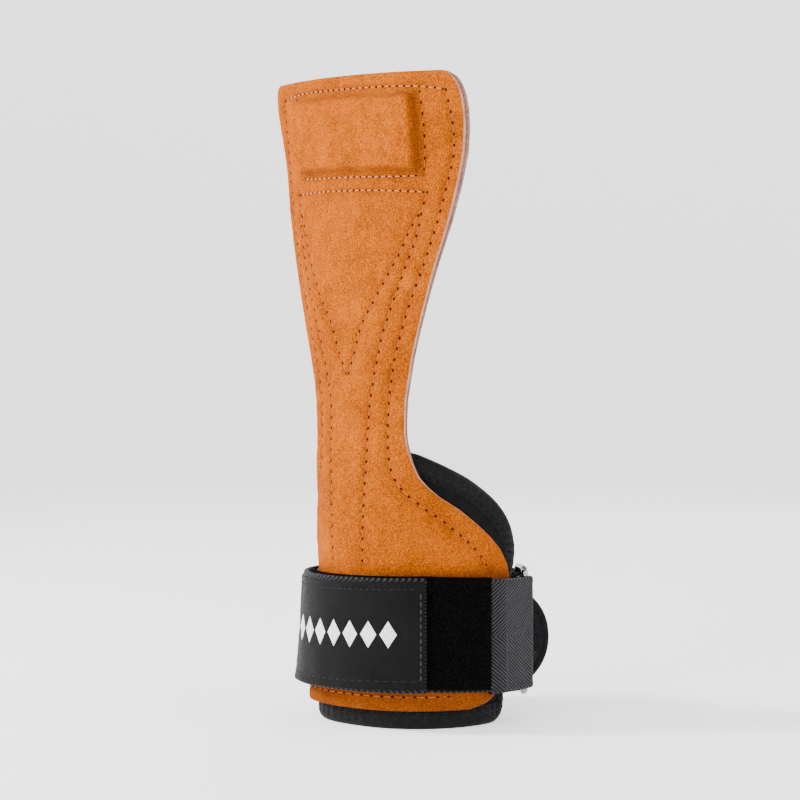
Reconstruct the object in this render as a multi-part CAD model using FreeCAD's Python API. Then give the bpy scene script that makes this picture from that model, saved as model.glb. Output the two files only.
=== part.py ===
import FreeCAD, Part
import math
import os

# Leather palm grip for bars: a suede tongue sewn to a round wrist cuff.
# Millimetres, +Z up. The cuff's axis is vertical. The tongue rises from the
# front of the cuff and faces -Y. Angles TH run round the cuff from the front
# (-Y) towards +X. S is the distance along a curved surface from X = 0.

V = FreeCAD.Vector

# ---------------------------------------------------------------- dimensions
SHIFT_X, SHIFT_Y = 0.0, 0.523         # puts the origin under the middle of the box

R_WRIST = 27.4                      # wrist opening
T_LINING = 0.8
T_PAD = 4.4
T_COVER = 0.8
T_LEATHER = 1.8                     # each of the two leather layers
T_CORE = 1.0                        # web core between the leather layers
T_WEB = 1.6                         # 40 mm webbing
T_LOOP = 1.4
T_HOOK = 1.0
T_LABEL = 0.6
GAP = 0.3                           # between hook and loop tape when closed

R_LIN = R_WRIST + T_LINING          # 28.2
R_PAD = R_LIN + T_PAD               # 32.6
R_COV = R_PAD + T_COVER             # 33.4
R_BACK = R_COV + T_LEATHER          # 35.2
R_FACE = R_BACK + T_LEATHER         # 37.0
R_WEB = R_FACE + T_WEB              # 38.6
R_LOOP = R_WEB + T_LOOP             # 40.0
R_HOOK0 = R_LOOP + GAP + 0.1        # 40.4
R_HOOK = R_HOOK0 + T_HOOK           # 41.4
R_TIP = R_HOOK + 1.5                # 42.9
R_LABEL = R_TIP + T_LABEL           # 43.5

PAD_TH0, PAD_TH1 = -148.0, 119.0    # ends of the wrist pad
BIND = 3.0                          # width of the pad's bound edge
STRAP_Z0, STRAP_Z1 = 13.2, 53.2     # 40 mm webbing
HOOK_TH0, HOOK_TH1 = -58.0, 44.0
TIP_TH0, TIP_TH1 = -61.0, 49.0
LOOP_TH0, LOOP_TH1 = -61.0, 87.0
LABEL_TH0, LABEL_TH1 = -56.0, 48.2

# ring of 2.5 mm wire for 40 mm webbing
WIRE_R = 1.25
RING_IN_H = 43.0
RING_Z = 32.5
RING_CORNER = 2.4                   # corner radius of the wire's centre line
RETURN_LEG = 3.0                    # straight end of the webbing folded back inside the ring
NEAR_BAR = (39.8, 6.0)              # in axes turned 45 degrees about Z
FAR_BAR = (38.0, -8.5)

# tongue: hinge heights and slits
HINGE_Z = (106.0, 146.0, 187.0)
SLIT = 1.2                          # half of the slit at each hinge line
TOP_Z = 233.6

# half-width of the tongue by height
WIDTH = [(98, 25.6), (101.5, 25.0), (106, 24.3), (112, 24.2), (117.7, 24.4), (122, 25.2), (126.7, 26.3),
         (133.2, 27.8), (139.3, 29.7), (146.1, 31.8), (153, 34.0), (159.8, 36.1), (166.7, 38.2),
         (173.5, 40.4), (180.7, 42.5), (187, 44.0), (192, 45.1), (198, 46.4), (204.1, 47.6), (209.5, 48.3),
         (214.9, 48.8), (220.3, 49.0), (225.7, 48.6), (229.5, 47.2), (232, 45.2), (233.6, 42.0)]
# radius of the tongue's cross-section by height, and how far its front line stands out
RHO = [(60, 37.0), (90, 38.5), (107, 41.0), (118, 45.0), (127, 49.0), (139, 56.0), (153, 66.0), (167, 78.0),
       (181, 92.0), (192, 104.0), (204, 114.0), (215, 122.0), (226, 127.0), (240, 130.0)]
FRONT = [(60, 37.0), (95, 36.6), (107, 36.3), (118, 35.8), (127, 36.2), (140, 36.9), (155, 37.3), (167, 37.0),
         (181, 35.8), (192, 34.5), (204, 33.9), (215, 34.3), (226, 35.6), (240, 36.8)]


def lerp(table, x):
    if x <= table[0][0]:
        return table[0][1]
    for (x0, y0), (x1, y1) in zip(table, table[1:]):
        if x <= x1:
            return y0 + (y1 - y0) * (x - x0) / (x1 - x0)
    return table[-1][1]


os.makedirs("parts", exist_ok=True)
NODES = []


def save(name, shape):
    shape = shape.copy()
    shape.translate(V(SHIFT_X, SHIFT_Y, 0))
    if not shape.isValid():
        print("NOT VALID", name)
    shape.exportStep("parts/%s.step" % name)
    b = shape.BoundBox
    NODES.append((name, b))
    print("%-24s solids %3d vol %9.1f  x %.1f..%.1f y %.1f..%.1f z %.1f..%.1f" % (
        name, len(shape.Solids), shape.Volume, b.XMin, b.XMax, b.YMin, b.YMax, b.ZMin, b.ZMax))


def pt(r, th, z=0.0):
    a = math.radians(th)
    return V(r * math.sin(a), -r * math.cos(a), z)


def uv(p):
    """point given in axes turned 45 degrees about Z"""
    u, v = p
    return V((u + v) / math.sqrt(2), (u - v) / math.sqrt(2), 0)


def sector(r0, r1, th0, th1, z0, z1):
    """curved plate between two radii and two angles"""
    m = (th0 + th1) / 2
    e = [
        Part.Arc(pt(r1, th0), pt(r1, m), pt(r1, th1)).toShape(),
        Part.LineSegment(pt(r1, th1), pt(r0, th1)).toShape(),
        Part.Arc(pt(r0, th1), pt(r0, m), pt(r0, th0)).toShape(),
        Part.LineSegment(pt(r0, th0), pt(r1, th0)).toShape(),
    ]
    f = Part.Face(Part.Wire(e))
    f.translate(V(0, 0, z0))
    return f.extrude(V(0, 0, z1 - z0))


def side_prism(points):
    """prism along X with a smooth outline given as (Y, Z); it trims both sides of the cuff alike"""
    vs = [V(-90, y, z) for y, z in points]
    return Part.Face(Part.makePolygon(vs + [vs[0]])).extrude(V(180, 0, 0))


def smooth(points, n=6):
    """Catmull-Rom points through a list of (Y, Z)"""
    out = []
    p = [points[0]] + list(points) + [points[-1]]
    for i in range(1, len(p) - 2):
        for k in range(n):
            t = k / n
            out.append(tuple(
                0.5 * (2 * p[i][j] + (p[i + 1][j] - p[i - 1][j]) * t
                       + (2 * p[i - 1][j] - 5 * p[i][j] + 4 * p[i + 1][j] - p[i + 2][j]) * t * t
                       + (3 * p[i][j] - p[i - 1][j] - 3 * p[i + 1][j] + p[i + 2][j]) * t ** 3)
                for j in (0, 1)))
    out.append(points[-1])
    return out


# ------------------------------------------------------------- wrist pad
PAD_TOP = [(-40, 99.2), (-30, 98.9), (-25.8, 98.6), (-22.3, 96.9), (-18.3, 95.0), (-12.2, 92.2), (-6.8, 89.5),
           (-0.5, 86.0), (4.6, 82.3), (9.0, 78.0), (12.5, 72.5), (14.6, 66.0), (15.6, 58.0)]


def pad_prism(inset):
    top = [(y - inset * 0.55, z - inset * 0.85) for y, z in PAD_TOP[1:]]
    top = [(-45, 99.2 - inset)] + [(-30, 98.9 - inset)] + top[1:]
    pts = [(-45, inset)] + smooth(top, 4)
    ye = top[-1][0]
    # past the shoulder the pad's ends are cut straight; the outline stays open towards the back
    pts += [(ye + 0.6, 46), (ye + 0.8, 40), (45, 40), (45, inset)]
    return side_prism(pts)


# the back left of the pad is a plain band, lower than the front
full = pad_prism(0.0)
inner = pad_prism(BIND)
i0, i1 = PAD_TH0 + 5.5, PAD_TH1 - 5.5
save("pad_lining", sector(R_WRIST, R_LIN, i0, i1, 0, 110).common(inner))
save("pad_core", sector(R_LIN, R_PAD, i0, i1, 0, 110).common(inner))
save("pad_cover", sector(R_PAD, R_COV, i0, i1, 0, 110).common(inner))
whole = sector(R_WRIST, R_COV, PAD_TH0, PAD_TH1, 0, 110).common(full)
hollow = sector(R_WRIST - 1, R_COV + 1, i0, i1, -1, 110).common(inner)
save("pad_binding", whole.cut(hollow))

# ------------------------------------------------------------- leather base
LEATHER = [(-29.2, 104.8), (-28.9, 101.2), (-27.7, 95.6), (-26.2, 90.5), (-23.5, 86.6), (-19.7, 82.9), (-13.9, 78.9),
           (-7.1, 73.7), (0, 68.6), (6.4, 63.4), (11.4, 57.6), (13.9, 51.0), (13.4, 42), (11.6, 30), (8.6, 19),
           (3.8, 11.8), (-3.2, 8.4), (-11, 7.2), (-20, 7.2)]
leather = side_prism([(-45, 104.8)] + smooth(LEATHER, 4) + [(-45, 7.4)])
CORE_HALF = 8.4
core_base = sector(R_BACK - T_CORE, R_BACK, -math.degrees(CORE_HALF / R_BACK), math.degrees(CORE_HALF / R_BACK), 16, 104.8)
save("back_leather_base", sector(R_COV, R_BACK, -125, 125, 0, 110).common(leather).cut(core_base))
save("core_web_base", core_base)
save("face_suede_base", sector(R_BACK, R_FACE, -125, 125, 0, 110).common(leather))


# ------------------------------------------------------------- tongue
def outline(z, verts):
    """closed wire at height z through (S, depth) corners; equal depths are joined along the curved surface"""
    rho, y0 = lerp(RHO, z), lerp(FRONT, z)
    cy = -y0 + rho

    def q(s, depth):
        a = s / rho
        r = rho - depth
        return V(r * math.sin(a), cy - r * math.cos(a), z)

    edges = []
    for (s0, d0), (s1, d1) in zip(verts, verts[1:] + verts[:1]):
        if abs(d0 - d1) < 1e-9 and abs(s0 - s1) > 1e-9:
            edges.append(Part.Arc(q(s0, d0), q((s0 + s1) / 2, d0), q(s1, d1)).toShape())
        else:
            edges.append(Part.LineSegment(q(s0, d0), q(s1, d1)).toShape())
    return Part.Wire(edges)


SEG = [(HINGE_Z[0] + SLIT, HINGE_Z[1] - SLIT), (HINGE_Z[1] + SLIT, HINGE_Z[2] - SLIT), (HINGE_Z[2] + SLIT, TOP_Z)]
SEG_NAME = ("lower", "middle", "tip")
# half-width of the web core between the long seams
CORE_W = [(98, 9.0), (109.5, 9.6), (117, 10.0), (125.2, 11.8), (133, 13.9), (141.1, 16.3), (148.8, 19.6),
          (156.2, 23.0), (163.5, 25.8), (171, 29.2), (178, 31.3), (186, 32.4), (192, 33.2)]
PAD_HALF = 28.0                     # half-width of the raised rectangle at the tip
PAD_RAMP = 2.6
PAD_RISE = 2.4
RISE = [(197.2, 0.0), (200.0, 1.0), (224.0, 1.0), (226.8, 0.0)]


def heights(z0, z1, *tables):
    zs = [z0]
    for z in sorted(set(z for t in tables for z, _ in t)):
        if zs[-1] + 0.8 < z < z1 - 0.8:
            zs.append(z)
    return zs + [z1]


def loft(wires):
    return Part.makeLoft(wires, True, True)


T, TC = T_LEATHER, T_LEATHER + T_CORE
for (z0, z1), nm in zip(SEG[:2], SEG_NAME):
    zs = heights(z0, z1, WIDTH, CORE_W)
    w = lambda z: lerp(WIDTH, z)
    c = lambda z: lerp(CORE_W, z)
    save("face_suede_" + nm, loft([outline(z, [(-w(z), 0), (w(z), 0), (w(z), T), (-w(z), T)]) for z in zs]))
    save("core_web_" + nm, loft([outline(z, [(-c(z), T), (c(z), T), (c(z), TC), (-c(z), TC)]) for z in zs]))
    save("back_leather_" + nm, loft([outline(z, [
        (-w(z), T), (-c(z), T), (-c(z), TC), (c(z), TC), (c(z), T), (w(z), T), (w(z), 2 * T), (-w(z), 2 * T)]) for z in zs]))

z0, z1 = SEG[2]
zs = heights(z0, z1, WIDTH, RISE)
b0, b1 = PAD_HALF, PAD_HALF + PAD_RAMP


def tip_face(z):
    w, k = lerp(WIDTH, z), lerp(RISE, z)
    up, lo = -PAD_RISE * k, T - PAD_RISE * k
    return outline(z, [(-w, 0), (-b1, 0), (-b0, up), (b0, up), (b1, 0), (w, 0),
                       (w, T), (b1, T), (b0, lo), (-b0, lo), (-b1, T), (-w, T)])


save("face_suede_tip", loft([tip_face(z) for z in zs]))
save("back_leather_tip", loft([outline(z, [(-lerp(WIDTH, z), T), (lerp(WIDTH, z), T), (lerp(WIDTH, z), 2 * T),
                                           (-lerp(WIDTH, z), 2 * T)]) for z in zs]))
# filler foam in the pocket between the two layers
fz = [198.2, 200.0] + [z for z in zs if 200.5 < z < 223.5] + [224.0, 225.8]
save("tip_filler", loft([outline(z, [(-b0, T), (-b0, T - PAD_RISE * lerp(RISE, z)), (b0, T - PAD_RISE * lerp(RISE, z)),
                                     (b0, T)]) for z in fz]))

# ------------------------------------------------------------- strap
save("front_webbing", sector(R_FACE, R_WEB, -118, 97.9, STRAP_Z0, STRAP_Z1))
save("loop_tape", sector(R_WEB, R_LOOP, LOOP_TH0, LOOP_TH1, STRAP_Z0 + 1, STRAP_Z1 - 1))
save("hook_tape", sector(R_HOOK0, R_HOOK, HOOK_TH0, HOOK_TH1, STRAP_Z0 + 1, STRAP_Z1 - 1))
save("strap_tip_webbing", sector(R_HOOK, R_TIP, TIP_TH0, TIP_TH1, STRAP_Z0, STRAP_Z1))
save("label_patch", sector(R_TIP, R_LABEL, LABEL_TH0, LABEL_TH1, STRAP_Z0 + 1.2, STRAP_Z1 - 1.6))


def arc_edge(c, r, a0, a1):
    """arc about c from polar angle a0 to a1, in degrees"""
    m = math.radians((a0 + a1) / 2)
    p = lambda a: V(c.x + r * math.cos(a), c.y + r * math.sin(a), 0)
    return Part.Arc(p(math.radians(a0)), p(m), p(math.radians(a1))).toShape()


def thick(path, t, z0, z1):
    """strip of thickness t along a smooth plan path of arcs and lines, extruded between two heights.
    path: ("arc", centre, radius, a0, a1) or ("line", p0, p1)"""
    left, right = [], []
    for seg in path:
        if seg[0] == "arc":
            _, c, r, a0, a1 = seg
            s = 1 if a1 > a0 else -1
            left.append(arc_edge(c, r - s * t / 2, a0, a1))
            right.append(arc_edge(c, r + s * t / 2, a0, a1))
        else:
            _, p0, p1 = seg
            d = (p1 - p0).normalize()
            n = V(-d.y, d.x, 0) * (t / 2)
            left.append(Part.LineSegment(p0 + n, p1 + n).toShape())
            right.append(Part.LineSegment(p0 - n, p1 - n).toShape())

    def ends(e):
        return e.valueAt(e.FirstParameter), e.valueAt(e.LastParameter)

    cap0 = Part.LineSegment(ends(left[0])[0], ends(right[0])[0]).toShape()
    cap1 = Part.LineSegment(ends(left[-1])[1], ends(right[-1])[1]).toShape()
    w = Part.Wire(Part.__sortEdges__(left + [cap1] + right + [cap0]))
    f = Part.Face(w)
    f.translate(V(0, 0, z0))
    return f.extrude(V(0, 0, z1 - z0))


def polar(p, c=V(0, 0, 0)):
    return math.degrees(math.atan2(p.y - c.y, p.x - c.x))


NB, FB = uv(NEAR_BAR), uv(FAR_BAR)
O = V(0, 0, 0)

# webbing folded round the ring's near bar and sewn back on itself
rc = (R_FACE + R_WEB) / 2
rw = WIRE_R + 0.3 + T_WEB / 2
d = NB.Length
turn = math.degrees(math.acos((rc - rw) / d))
a_bar = polar(NB)
a_leave = a_bar - turn
p0 = V(rc * math.cos(math.radians(a_leave)), rc * math.sin(math.radians(a_leave)), 0)
p1 = V(NB.x + rw * math.cos(math.radians(a_leave)), NB.y + rw * math.sin(math.radians(a_leave)), 0)
print("anchor leaves at TH %.2f" % (a_leave + 90))
run = (p1 - p0).normalize()
nin = V(-run.y, run.x, 0)                       # towards the wrist
# the return leg lies against the outer one and opens round the bar
q1 = NB + V(math.cos(math.radians(a_leave + 206)), math.sin(math.radians(a_leave + 206)), 0) * rw
dirq = V(-math.sin(math.radians(a_leave + 206)), math.cos(math.radians(a_leave + 206)), 0)
q2 = q1 + dirq * RETURN_LEG
a0 = math.degrees(math.atan2((p0 - O).y, (p0 - O).x))
outer = thick([("line", p0, p1), ("arc", NB, rw, a_leave, a_leave + 206), ("line", q1, q2)], T_WEB, STRAP_Z0, STRAP_Z1)
save("ring_anchor_webbing", outer)

# free strap: round the back of the wrist, through the ring, and back to the left flank
t_free = 1.5
bw = WIRE_R + 1.1 + t_free / 2
r1 = 35.4
c1dir = pt(1.0, -118)
c1 = c1dir * (rc - r1)
# inner pass touches the far bar's wrap from the wrist side
dd = (FB - c1).Length
ang = math.degrees(math.acos((r1 + bw) / dd))
aB = polar(FB, c1)
a_off = aB + ang                                 # polar angle where the pass leaves its arc
s0 = c1 + V(math.cos(math.radians(a_off)), math.sin(math.radians(a_off)), 0) * r1
s1 = FB - V(math.cos(math.radians(a_off)), math.sin(math.radians(a_off)), 0) * bw
start = polar(pt(rc, -118) - c1)                 # polar angle of the sewn end
while start < a_off:
    start += 360
# outer pass
r2 = (R_HOOK + R_TIP) / 2
phi = -100.0 - 90.0                              # polar angle where it settles on its circle
dphi = V(math.cos(math.radians(phi)), math.sin(math.radians(phi)), 0)
reach = r2 - bw
e = (reach ** 2 - FB.Length ** 2) / (2 * (reach - FB.dot(dphi)))
c2 = dphi * e
rr2 = r2 - e
a_touch = polar(FB, c2)
wrap0 = a_off + 180                              # where the wrap begins on the far bar
wrap1 = a_touch
while wrap1 > wrap0:
    wrap1 -= 360
while wrap1 < wrap0 - 360:
    wrap1 += 360
# the wrap runs from the wrist side, through the slot, to the outside
wrap_a = wrap0
wrap_b = a_touch
while wrap_b < wrap_a:
    wrap_b += 360
print("free strap: leaves %.1f wraps %.1f..%.1f outer shift %.3f" % (a_off, wrap_a, wrap_b, e))
o0 = a_touch
o1 = phi
while o1 < o0:
    o1 += 360
h1 = TIP_TH0 - 90
while h1 < o1:
    h1 += 360
free = [("arc", c1, r1, start, a_off), ("line", s0, s1), ("arc", FB, bw, wrap_a, wrap_b),
        ("arc", c2, rr2, o0, o1), ("arc", O, r2, o1, h1 - 0.6)]
save("free_strap_webbing", thick(free, t_free, STRAP_Z0, STRAP_Z1))


# ------------------------------------------------------------- ring
def ring():
    h = RING_IN_H / 2 + WIRE_R
    rf = RING_CORNER
    zc = RING_Z
    ex = (FB - NB).normalize()
    w = (FB - NB).Length

    def p(a, b):
        return NB + ex * a + V(0, 0, zc + b)

    k = rf * (1 - math.sqrt(0.5))
    edges = [
        Part.LineSegment(p(0, -h + rf), p(0, h - rf)).toShape(),
        Part.Arc(p(0, h - rf), p(k, h - k), p(rf, h)).toShape(),
        Part.LineSegment(p(rf, h), p(w - rf, h)).toShape(),
        Part.Arc(p(w - rf, h), p(w - k, h - k), p(w, h - rf)).toShape(),
        Part.LineSegment(p(w, h - rf), p(w, -h + rf)).toShape(),
        Part.Arc(p(w, -h + rf), p(w - k, -h + k), p(w - rf, -h)).toShape(),
        Part.LineSegment(p(w - rf, -h), p(rf, -h)).toShape(),
        Part.Arc(p(rf, -h), p(k, -h + k), p(0, -h + rf)).toShape(),
    ]
    out = None
    for e in edges:
        a = e.valueAt(e.FirstParameter)
        t = e.tangentAt(e.FirstParameter)
        c = Part.Wire([Part.makeCircle(WIRE_R, a, t)])
        s = Part.Wire([e]).makePipeShell([c], True, True)
        out = s if out is None else out.fuse(s)
    return out.removeSplitter()


save("strap_ring", ring())

# ------------------------------------------------------------- end tab of the pad, out through the ring
TAB_T = 3.6
TAB_Z, TAB_H = 29.0, 17.5
A, B, TIPP = uv((29.9, 8.3)), uv((38.9, -1.2)), uv((49.5, -5.4))
dB = (TIPP - B).normalize()
# arc that leaves A and meets B along dB
nB = V(dB.y, -dB.x, 0)
m = (A - B)
rad = m.Length ** 2 / (2 * abs(m.dot(nB)))
sgn = 1 if m.dot(nB) > 0 else -1
cB = B + nB * (rad * sgn)
aA, aB2 = polar(A, cB), polar(B, cB)
while aB2 - aA > 180:
    aB2 -= 360
while aB2 - aA < -180:
    aB2 += 360
print("tab bend radius %.1f" % rad)
tab_path = [("arc", cB, rad, aA, aB2), ("line", B, TIPP)]
tab = thick(tab_path, TAB_T, TAB_Z - TAB_H, TAB_Z + TAB_H)


def tab_outline(inset):
    r = 19.5 - inset
    c = TIPP - dB * 19.5 + V(0, 0, TAB_Z)
    side = V(dB.y, -dB.x, 0)
    cyl = Part.makeCylinder(r, 60, c - side * 30, side)
    back = Part.makeBox(60, 60, 2 * (TAB_H - inset))
    back.translate(V(-60, -30, -(TAB_H - inset)))
    back.rotate(V(0, 0, 0), V(0, 0, 1), math.degrees(math.atan2(dB.y, dB.x)))
    back.translate(c + dB * 3)
    return cyl.fuse(back)


tab_in = tab.common(tab_outline(2.6))
tab_full = tab.common(tab_outline(0.0))
save("tab_core", tab_in)
save("tab_binding", tab_full.cut(tab_in))


# ------------------------------------------------------------- thread
def bar(a, b, normal, w=0.7, h=0.35, lift=0.06):
    """one stitch: a flat bar from a to b lying on a surface"""
    x = (b - a)
    ln = x.Length
    x.normalize()
    y = normal.cross(x).normalize()
    s = Part.makeBox(ln, w, h)
    s.translate(V(0, -w / 2, lift))
    m = FreeCAD.Matrix(x.x, y.x, normal.x, a.x, x.y, y.y, normal.y, a.y, x.z, y.z, normal.z, a.z, 0, 0, 0, 1)
    s = s.transformGeometry(m)
    return s


def on_face(s, z):
    if z < HINGE_Z[0]:
        r = R_FACE
        a = s / r
        return V(r * math.sin(a), -r * math.cos(a), z), V(math.sin(a), -math.cos(a), 0)
    rho, y0 = lerp(RHO, z), lerp(FRONT, z)
    a = s / rho
    return V(rho * math.sin(a), -y0 + rho - rho * math.cos(a), z), V(math.sin(a), -math.cos(a), 0)


def stitches(line, pitch=3.9, gap=1.1, mirror=True):
    """threads along a seam given as (S, Z)"""
    pts = smooth(line, 8)
    d = [0.0]
    for a, b in zip(pts, pts[1:]):
        d.append(d[-1] + math.hypot(b[0] - a[0], b[1] - a[1]))

    def at(t):
        for i in range(len(d) - 1):
            if t <= d[i + 1] or i == len(d) - 2:
                f = (t - d[i]) / max(d[i + 1] - d[i], 1e-9)
                return (pts[i][0] + f * (pts[i + 1][0] - pts[i][0]), pts[i][1] + f * (pts[i + 1][1] - pts[i][1]))

    out = []
    n = int(d[-1] // pitch)
    for k in range(n):
        p, q = at(k * pitch + gap / 2), at((k + 1) * pitch - gap / 2)
        for sg in ((1, -1) if mirror else (1,)):
            a, na = on_face(sg * p[0], p[1])
            b, nb = on_face(sg * q[0], q[1])
            out.append(((p[1] + q[1]) / 2, p[1], q[1], bar(a, b, (na + nb).normalize(), lift=0.22)))
    return out


SEAM_A = [(42.8, 226.5), (43.9, 218.7), (44.4, 211.1), (43.8, 203.2), (42.0, 195.4), (40.2, 187.6), (38.4, 180.3),
          (35.9, 172.4), (33.4, 165.1), (30.3, 157.4), (27.4, 150.5), (24.6, 142.8), (21.7, 134.7), (19.7, 126.9),
          (18.2, 118.4), (17.8, 110.6), (17.9, 102.4), (18.6, 94.8), (20.0, 90.7), (22.1, 87.2), (24.9, 84.2),
          (27.8, 81.9), (31.3, 79.2), (34.9, 76.9), (38.5, 74.4), (41.8, 71.7), (45.6, 68.9), (49.2, 66.0),
          (52.8, 62.6), (55.9, 59.2), (58.5, 55.5)]
SEAM_B = [(34, 190), (32.9, 186.5), (32.0, 182.3), (31.3, 178.1), (29.2, 171.0), (26.2, 163.5), (23.3, 156.2),
          (20, 148.8), (16.8, 141.1), (14.3, 133), (12.1, 125.2), (10.4, 117), (9.9, 109.5), (9.6, 100.9),
          (9.2, 92.5), (8.7, 84.5), (8.3, 76.3), (8.0, 69.1), (7.9, 57)]
SEAM_C = [(27.8, 177.2), (24.7, 170.2), (21.0, 163.7), (16.8, 157.1), (12.4, 150.8), (7.8, 144.1), (4.0, 134.5), (0.4, 126.3)]
TOP_1 = [(0, 228.4), (12, 228.4), (24, 228.2), (36, 227.4), (42.8, 226.5)]
TOP_2 = [(0, 196.2), (12, 196.2), (24, 196.2), (31.6, 196.4)]
TOP_3 = [(0, 191.2), (12, 191.1), (24, 190.7), (34, 190)]
SIDE_P = [(32.2, 226.0), (32.6, 218), (32.6, 205), (31.9, 197)]
groups = {"base": [], "lower": [], "middle": [], "tip": []}
for seam in (SEAM_A, SEAM_B, SEAM_C, TOP_1, TOP_2, TOP_3, SIDE_P):
    for zm, za, zb, s in stitches(seam):
        lo, hi = min(za, zb) - 0.5, max(za, zb) + 0.5
        if hi < HINGE_Z[0] - SLIT:
            if min(za, zb) > STRAP_Z1 + 0.8 and not (96 < hi and lo < 99):
                groups["base"].append(s)
        elif lo > HINGE_Z[0] + SLIT and hi < HINGE_Z[1] - SLIT:
            groups["lower"].append(s)
        elif lo > HINGE_Z[1] + SLIT and hi < HINGE_Z[2] - SLIT:
            groups["middle"].append(s)
        elif lo > HINGE_Z[2] + SLIT:
            groups["tip"].append(s)
for k, v in groups.items():
    save("seam_thread_" + k, Part.makeCompound(v))


# box stitches that hold the webbing and the label
def on_cyl(r, th, z):
    return pt(r, th, z), pt(1.0, th)


def ring_row(r, th0, th1, z, pitch=3.4, gap=1.0):
    out = []
    step = math.degrees(pitch / r)
    g = math.degrees(gap / r) / 2
    th = th0
    while th + step < th1:
        a, na = on_cyl(r, th + g, z)
        b, nb = on_cyl(r, th + step - g, z)
        out.append(bar(a, b, (na + nb).normalize(), 0.6, 0.3, 0.08))
        th += step
    return out


def up_row(r, th, z0, z1, pitch=3.2, gap=1.0):
    out = []
    z = z0
    while z + pitch < z1:
        a, na = on_cyl(r, th, z + gap / 2)
        b, nb = on_cyl(r, th, z + pitch - gap / 2)
        out.append(bar(a, b, na, 0.6, 0.3, 0.08))
        z += pitch
    return out


save("label_thread", Part.makeCompound(
    ring_row(R_LABEL, LABEL_TH0 + 2, LABEL_TH1 - 1.8, STRAP_Z1 - 3.2)
    + ring_row(R_LABEL, LABEL_TH0 + 2, LABEL_TH1 - 1.8, STRAP_Z0 + 2.8)
    + up_row(R_LABEL, LABEL_TH1 - 1.5, STRAP_Z0 + 3.4, STRAP_Z1 - 3.4)))
save("leather_hem_thread", Part.makeCompound(ring_row(R_FACE, -60, 60, 11.3, 3.9, 1.2)))

xs0 = min(b.XMin for _, b in NODES); xs1 = max(b.XMax for _, b in NODES)
ys0 = min(b.YMin for _, b in NODES); ys1 = max(b.YMax for _, b in NODES)
zs0 = min(b.ZMin for _, b in NODES); zs1 = max(b.ZMax for _, b in NODES)
print("ALL x %.3f..%.3f y %.3f..%.3f z %.3f..%.3f  centre %.3f %.3f  nodes %d" % (
    xs0, xs1, ys0, ys1, zs0, zs1, (xs0 + xs1) / 2, (ys0 + ys1) / 2, len(NODES)))
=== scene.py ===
import bpy, bmesh, math
import numpy as np
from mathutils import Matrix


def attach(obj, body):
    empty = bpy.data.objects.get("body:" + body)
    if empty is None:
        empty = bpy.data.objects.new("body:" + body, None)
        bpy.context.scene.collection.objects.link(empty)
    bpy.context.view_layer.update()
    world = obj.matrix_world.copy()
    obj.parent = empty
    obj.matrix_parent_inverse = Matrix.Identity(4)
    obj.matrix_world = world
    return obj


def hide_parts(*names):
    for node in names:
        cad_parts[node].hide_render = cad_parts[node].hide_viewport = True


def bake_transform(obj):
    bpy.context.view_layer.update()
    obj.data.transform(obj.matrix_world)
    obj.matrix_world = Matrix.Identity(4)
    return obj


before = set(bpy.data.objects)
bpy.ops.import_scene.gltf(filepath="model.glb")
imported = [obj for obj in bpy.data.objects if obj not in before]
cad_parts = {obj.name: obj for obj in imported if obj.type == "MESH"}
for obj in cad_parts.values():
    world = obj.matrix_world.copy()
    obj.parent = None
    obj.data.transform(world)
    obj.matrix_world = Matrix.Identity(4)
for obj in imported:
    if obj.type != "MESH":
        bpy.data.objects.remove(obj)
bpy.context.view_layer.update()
SY = 0.523
TAU = 2 * math.pi


# ------------------------------------------------------------------ helpers
def table(rows, sigma):
    """a smooth function through (z, value) rows"""
    xs = np.arange(-10, 262, 0.25)
    t = np.array(rows, float)
    n = int(4 * sigma / 0.25) + 1
    k = np.exp(-0.5 * (np.arange(-n, n + 1) * 0.25 / sigma) ** 2)
    y = np.convolve(np.pad(np.interp(xs, t[:, 0], t[:, 1]), n, mode="edge"), k / k.sum(), "valid")
    return lambda z: np.interp(z, xs, y)


def sstep(x, a, b):
    t = np.clip((np.asarray(x, float) - a) / (b - a), 0, 1)
    return t * t * (3 - 2 * t)


def wave_noise(x, y, size, seed, n=9):
    """smooth seeded noise of about +-1 with features of the given size in mm"""
    g = np.random.default_rng(seed)
    out = 0
    for _ in range(n):
        a, f, p = g.uniform(0, TAU), g.uniform(0.6, 1.5) / size, g.uniform(0, TAU)
        out = out + np.sin(TAU * f * (x * math.cos(a) + y * math.sin(a)) + p)
    return out / math.sqrt(n)


def resample(pts, step):
    pts = np.asarray(pts, float)
    d = np.concatenate([[0], np.cumsum(np.linalg.norm(np.diff(pts, axis=0), axis=1))])
    n = max(2, int(round(d[-1] / step)) + 1)
    t = np.linspace(0, d[-1], n)
    return np.stack([np.interp(t, d, pts[:, i]) for i in range(pts.shape[1])], -1)


def smooth_line(pts, n=10):
    p = [pts[0]] + list(pts) + [pts[-1]]
    p = np.array(p, float)
    out = []
    for i in range(1, len(p) - 2):
        for k in range(n):
            t = k / n
            out.append(0.5 * (2 * p[i] + (p[i + 1] - p[i - 1]) * t + (2 * p[i - 1] - 5 * p[i] + 4 * p[i + 1] - p[i + 2]) * t * t
                              + (3 * p[i] - p[i - 1] - 3 * p[i + 1] + p[i + 2]) * t ** 3))
    out.append(p[-1])
    return np.array(out)


def line_distance(s, z, line):
    """distance of points from a polyline in the (s, z) plane"""
    s, z = np.asarray(s, float).ravel(), np.asarray(z, float).ravel()
    best = np.full(s.shape, 1e9)
    for (a0, b0), (a1, b1) in zip(line[:-1], line[1:]):
        dx, dy = a1 - a0, b1 - b0
        q = dx * dx + dy * dy
        if q < 1e-12:
            continue
        t = np.clip(((s - a0) * dx + (z - b0) * dy) / q, 0, 1)
        best = np.minimum(best, (s - a0 - t * dx) ** 2 + (z - b0 - t * dy) ** 2)
    return np.sqrt(best)


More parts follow.
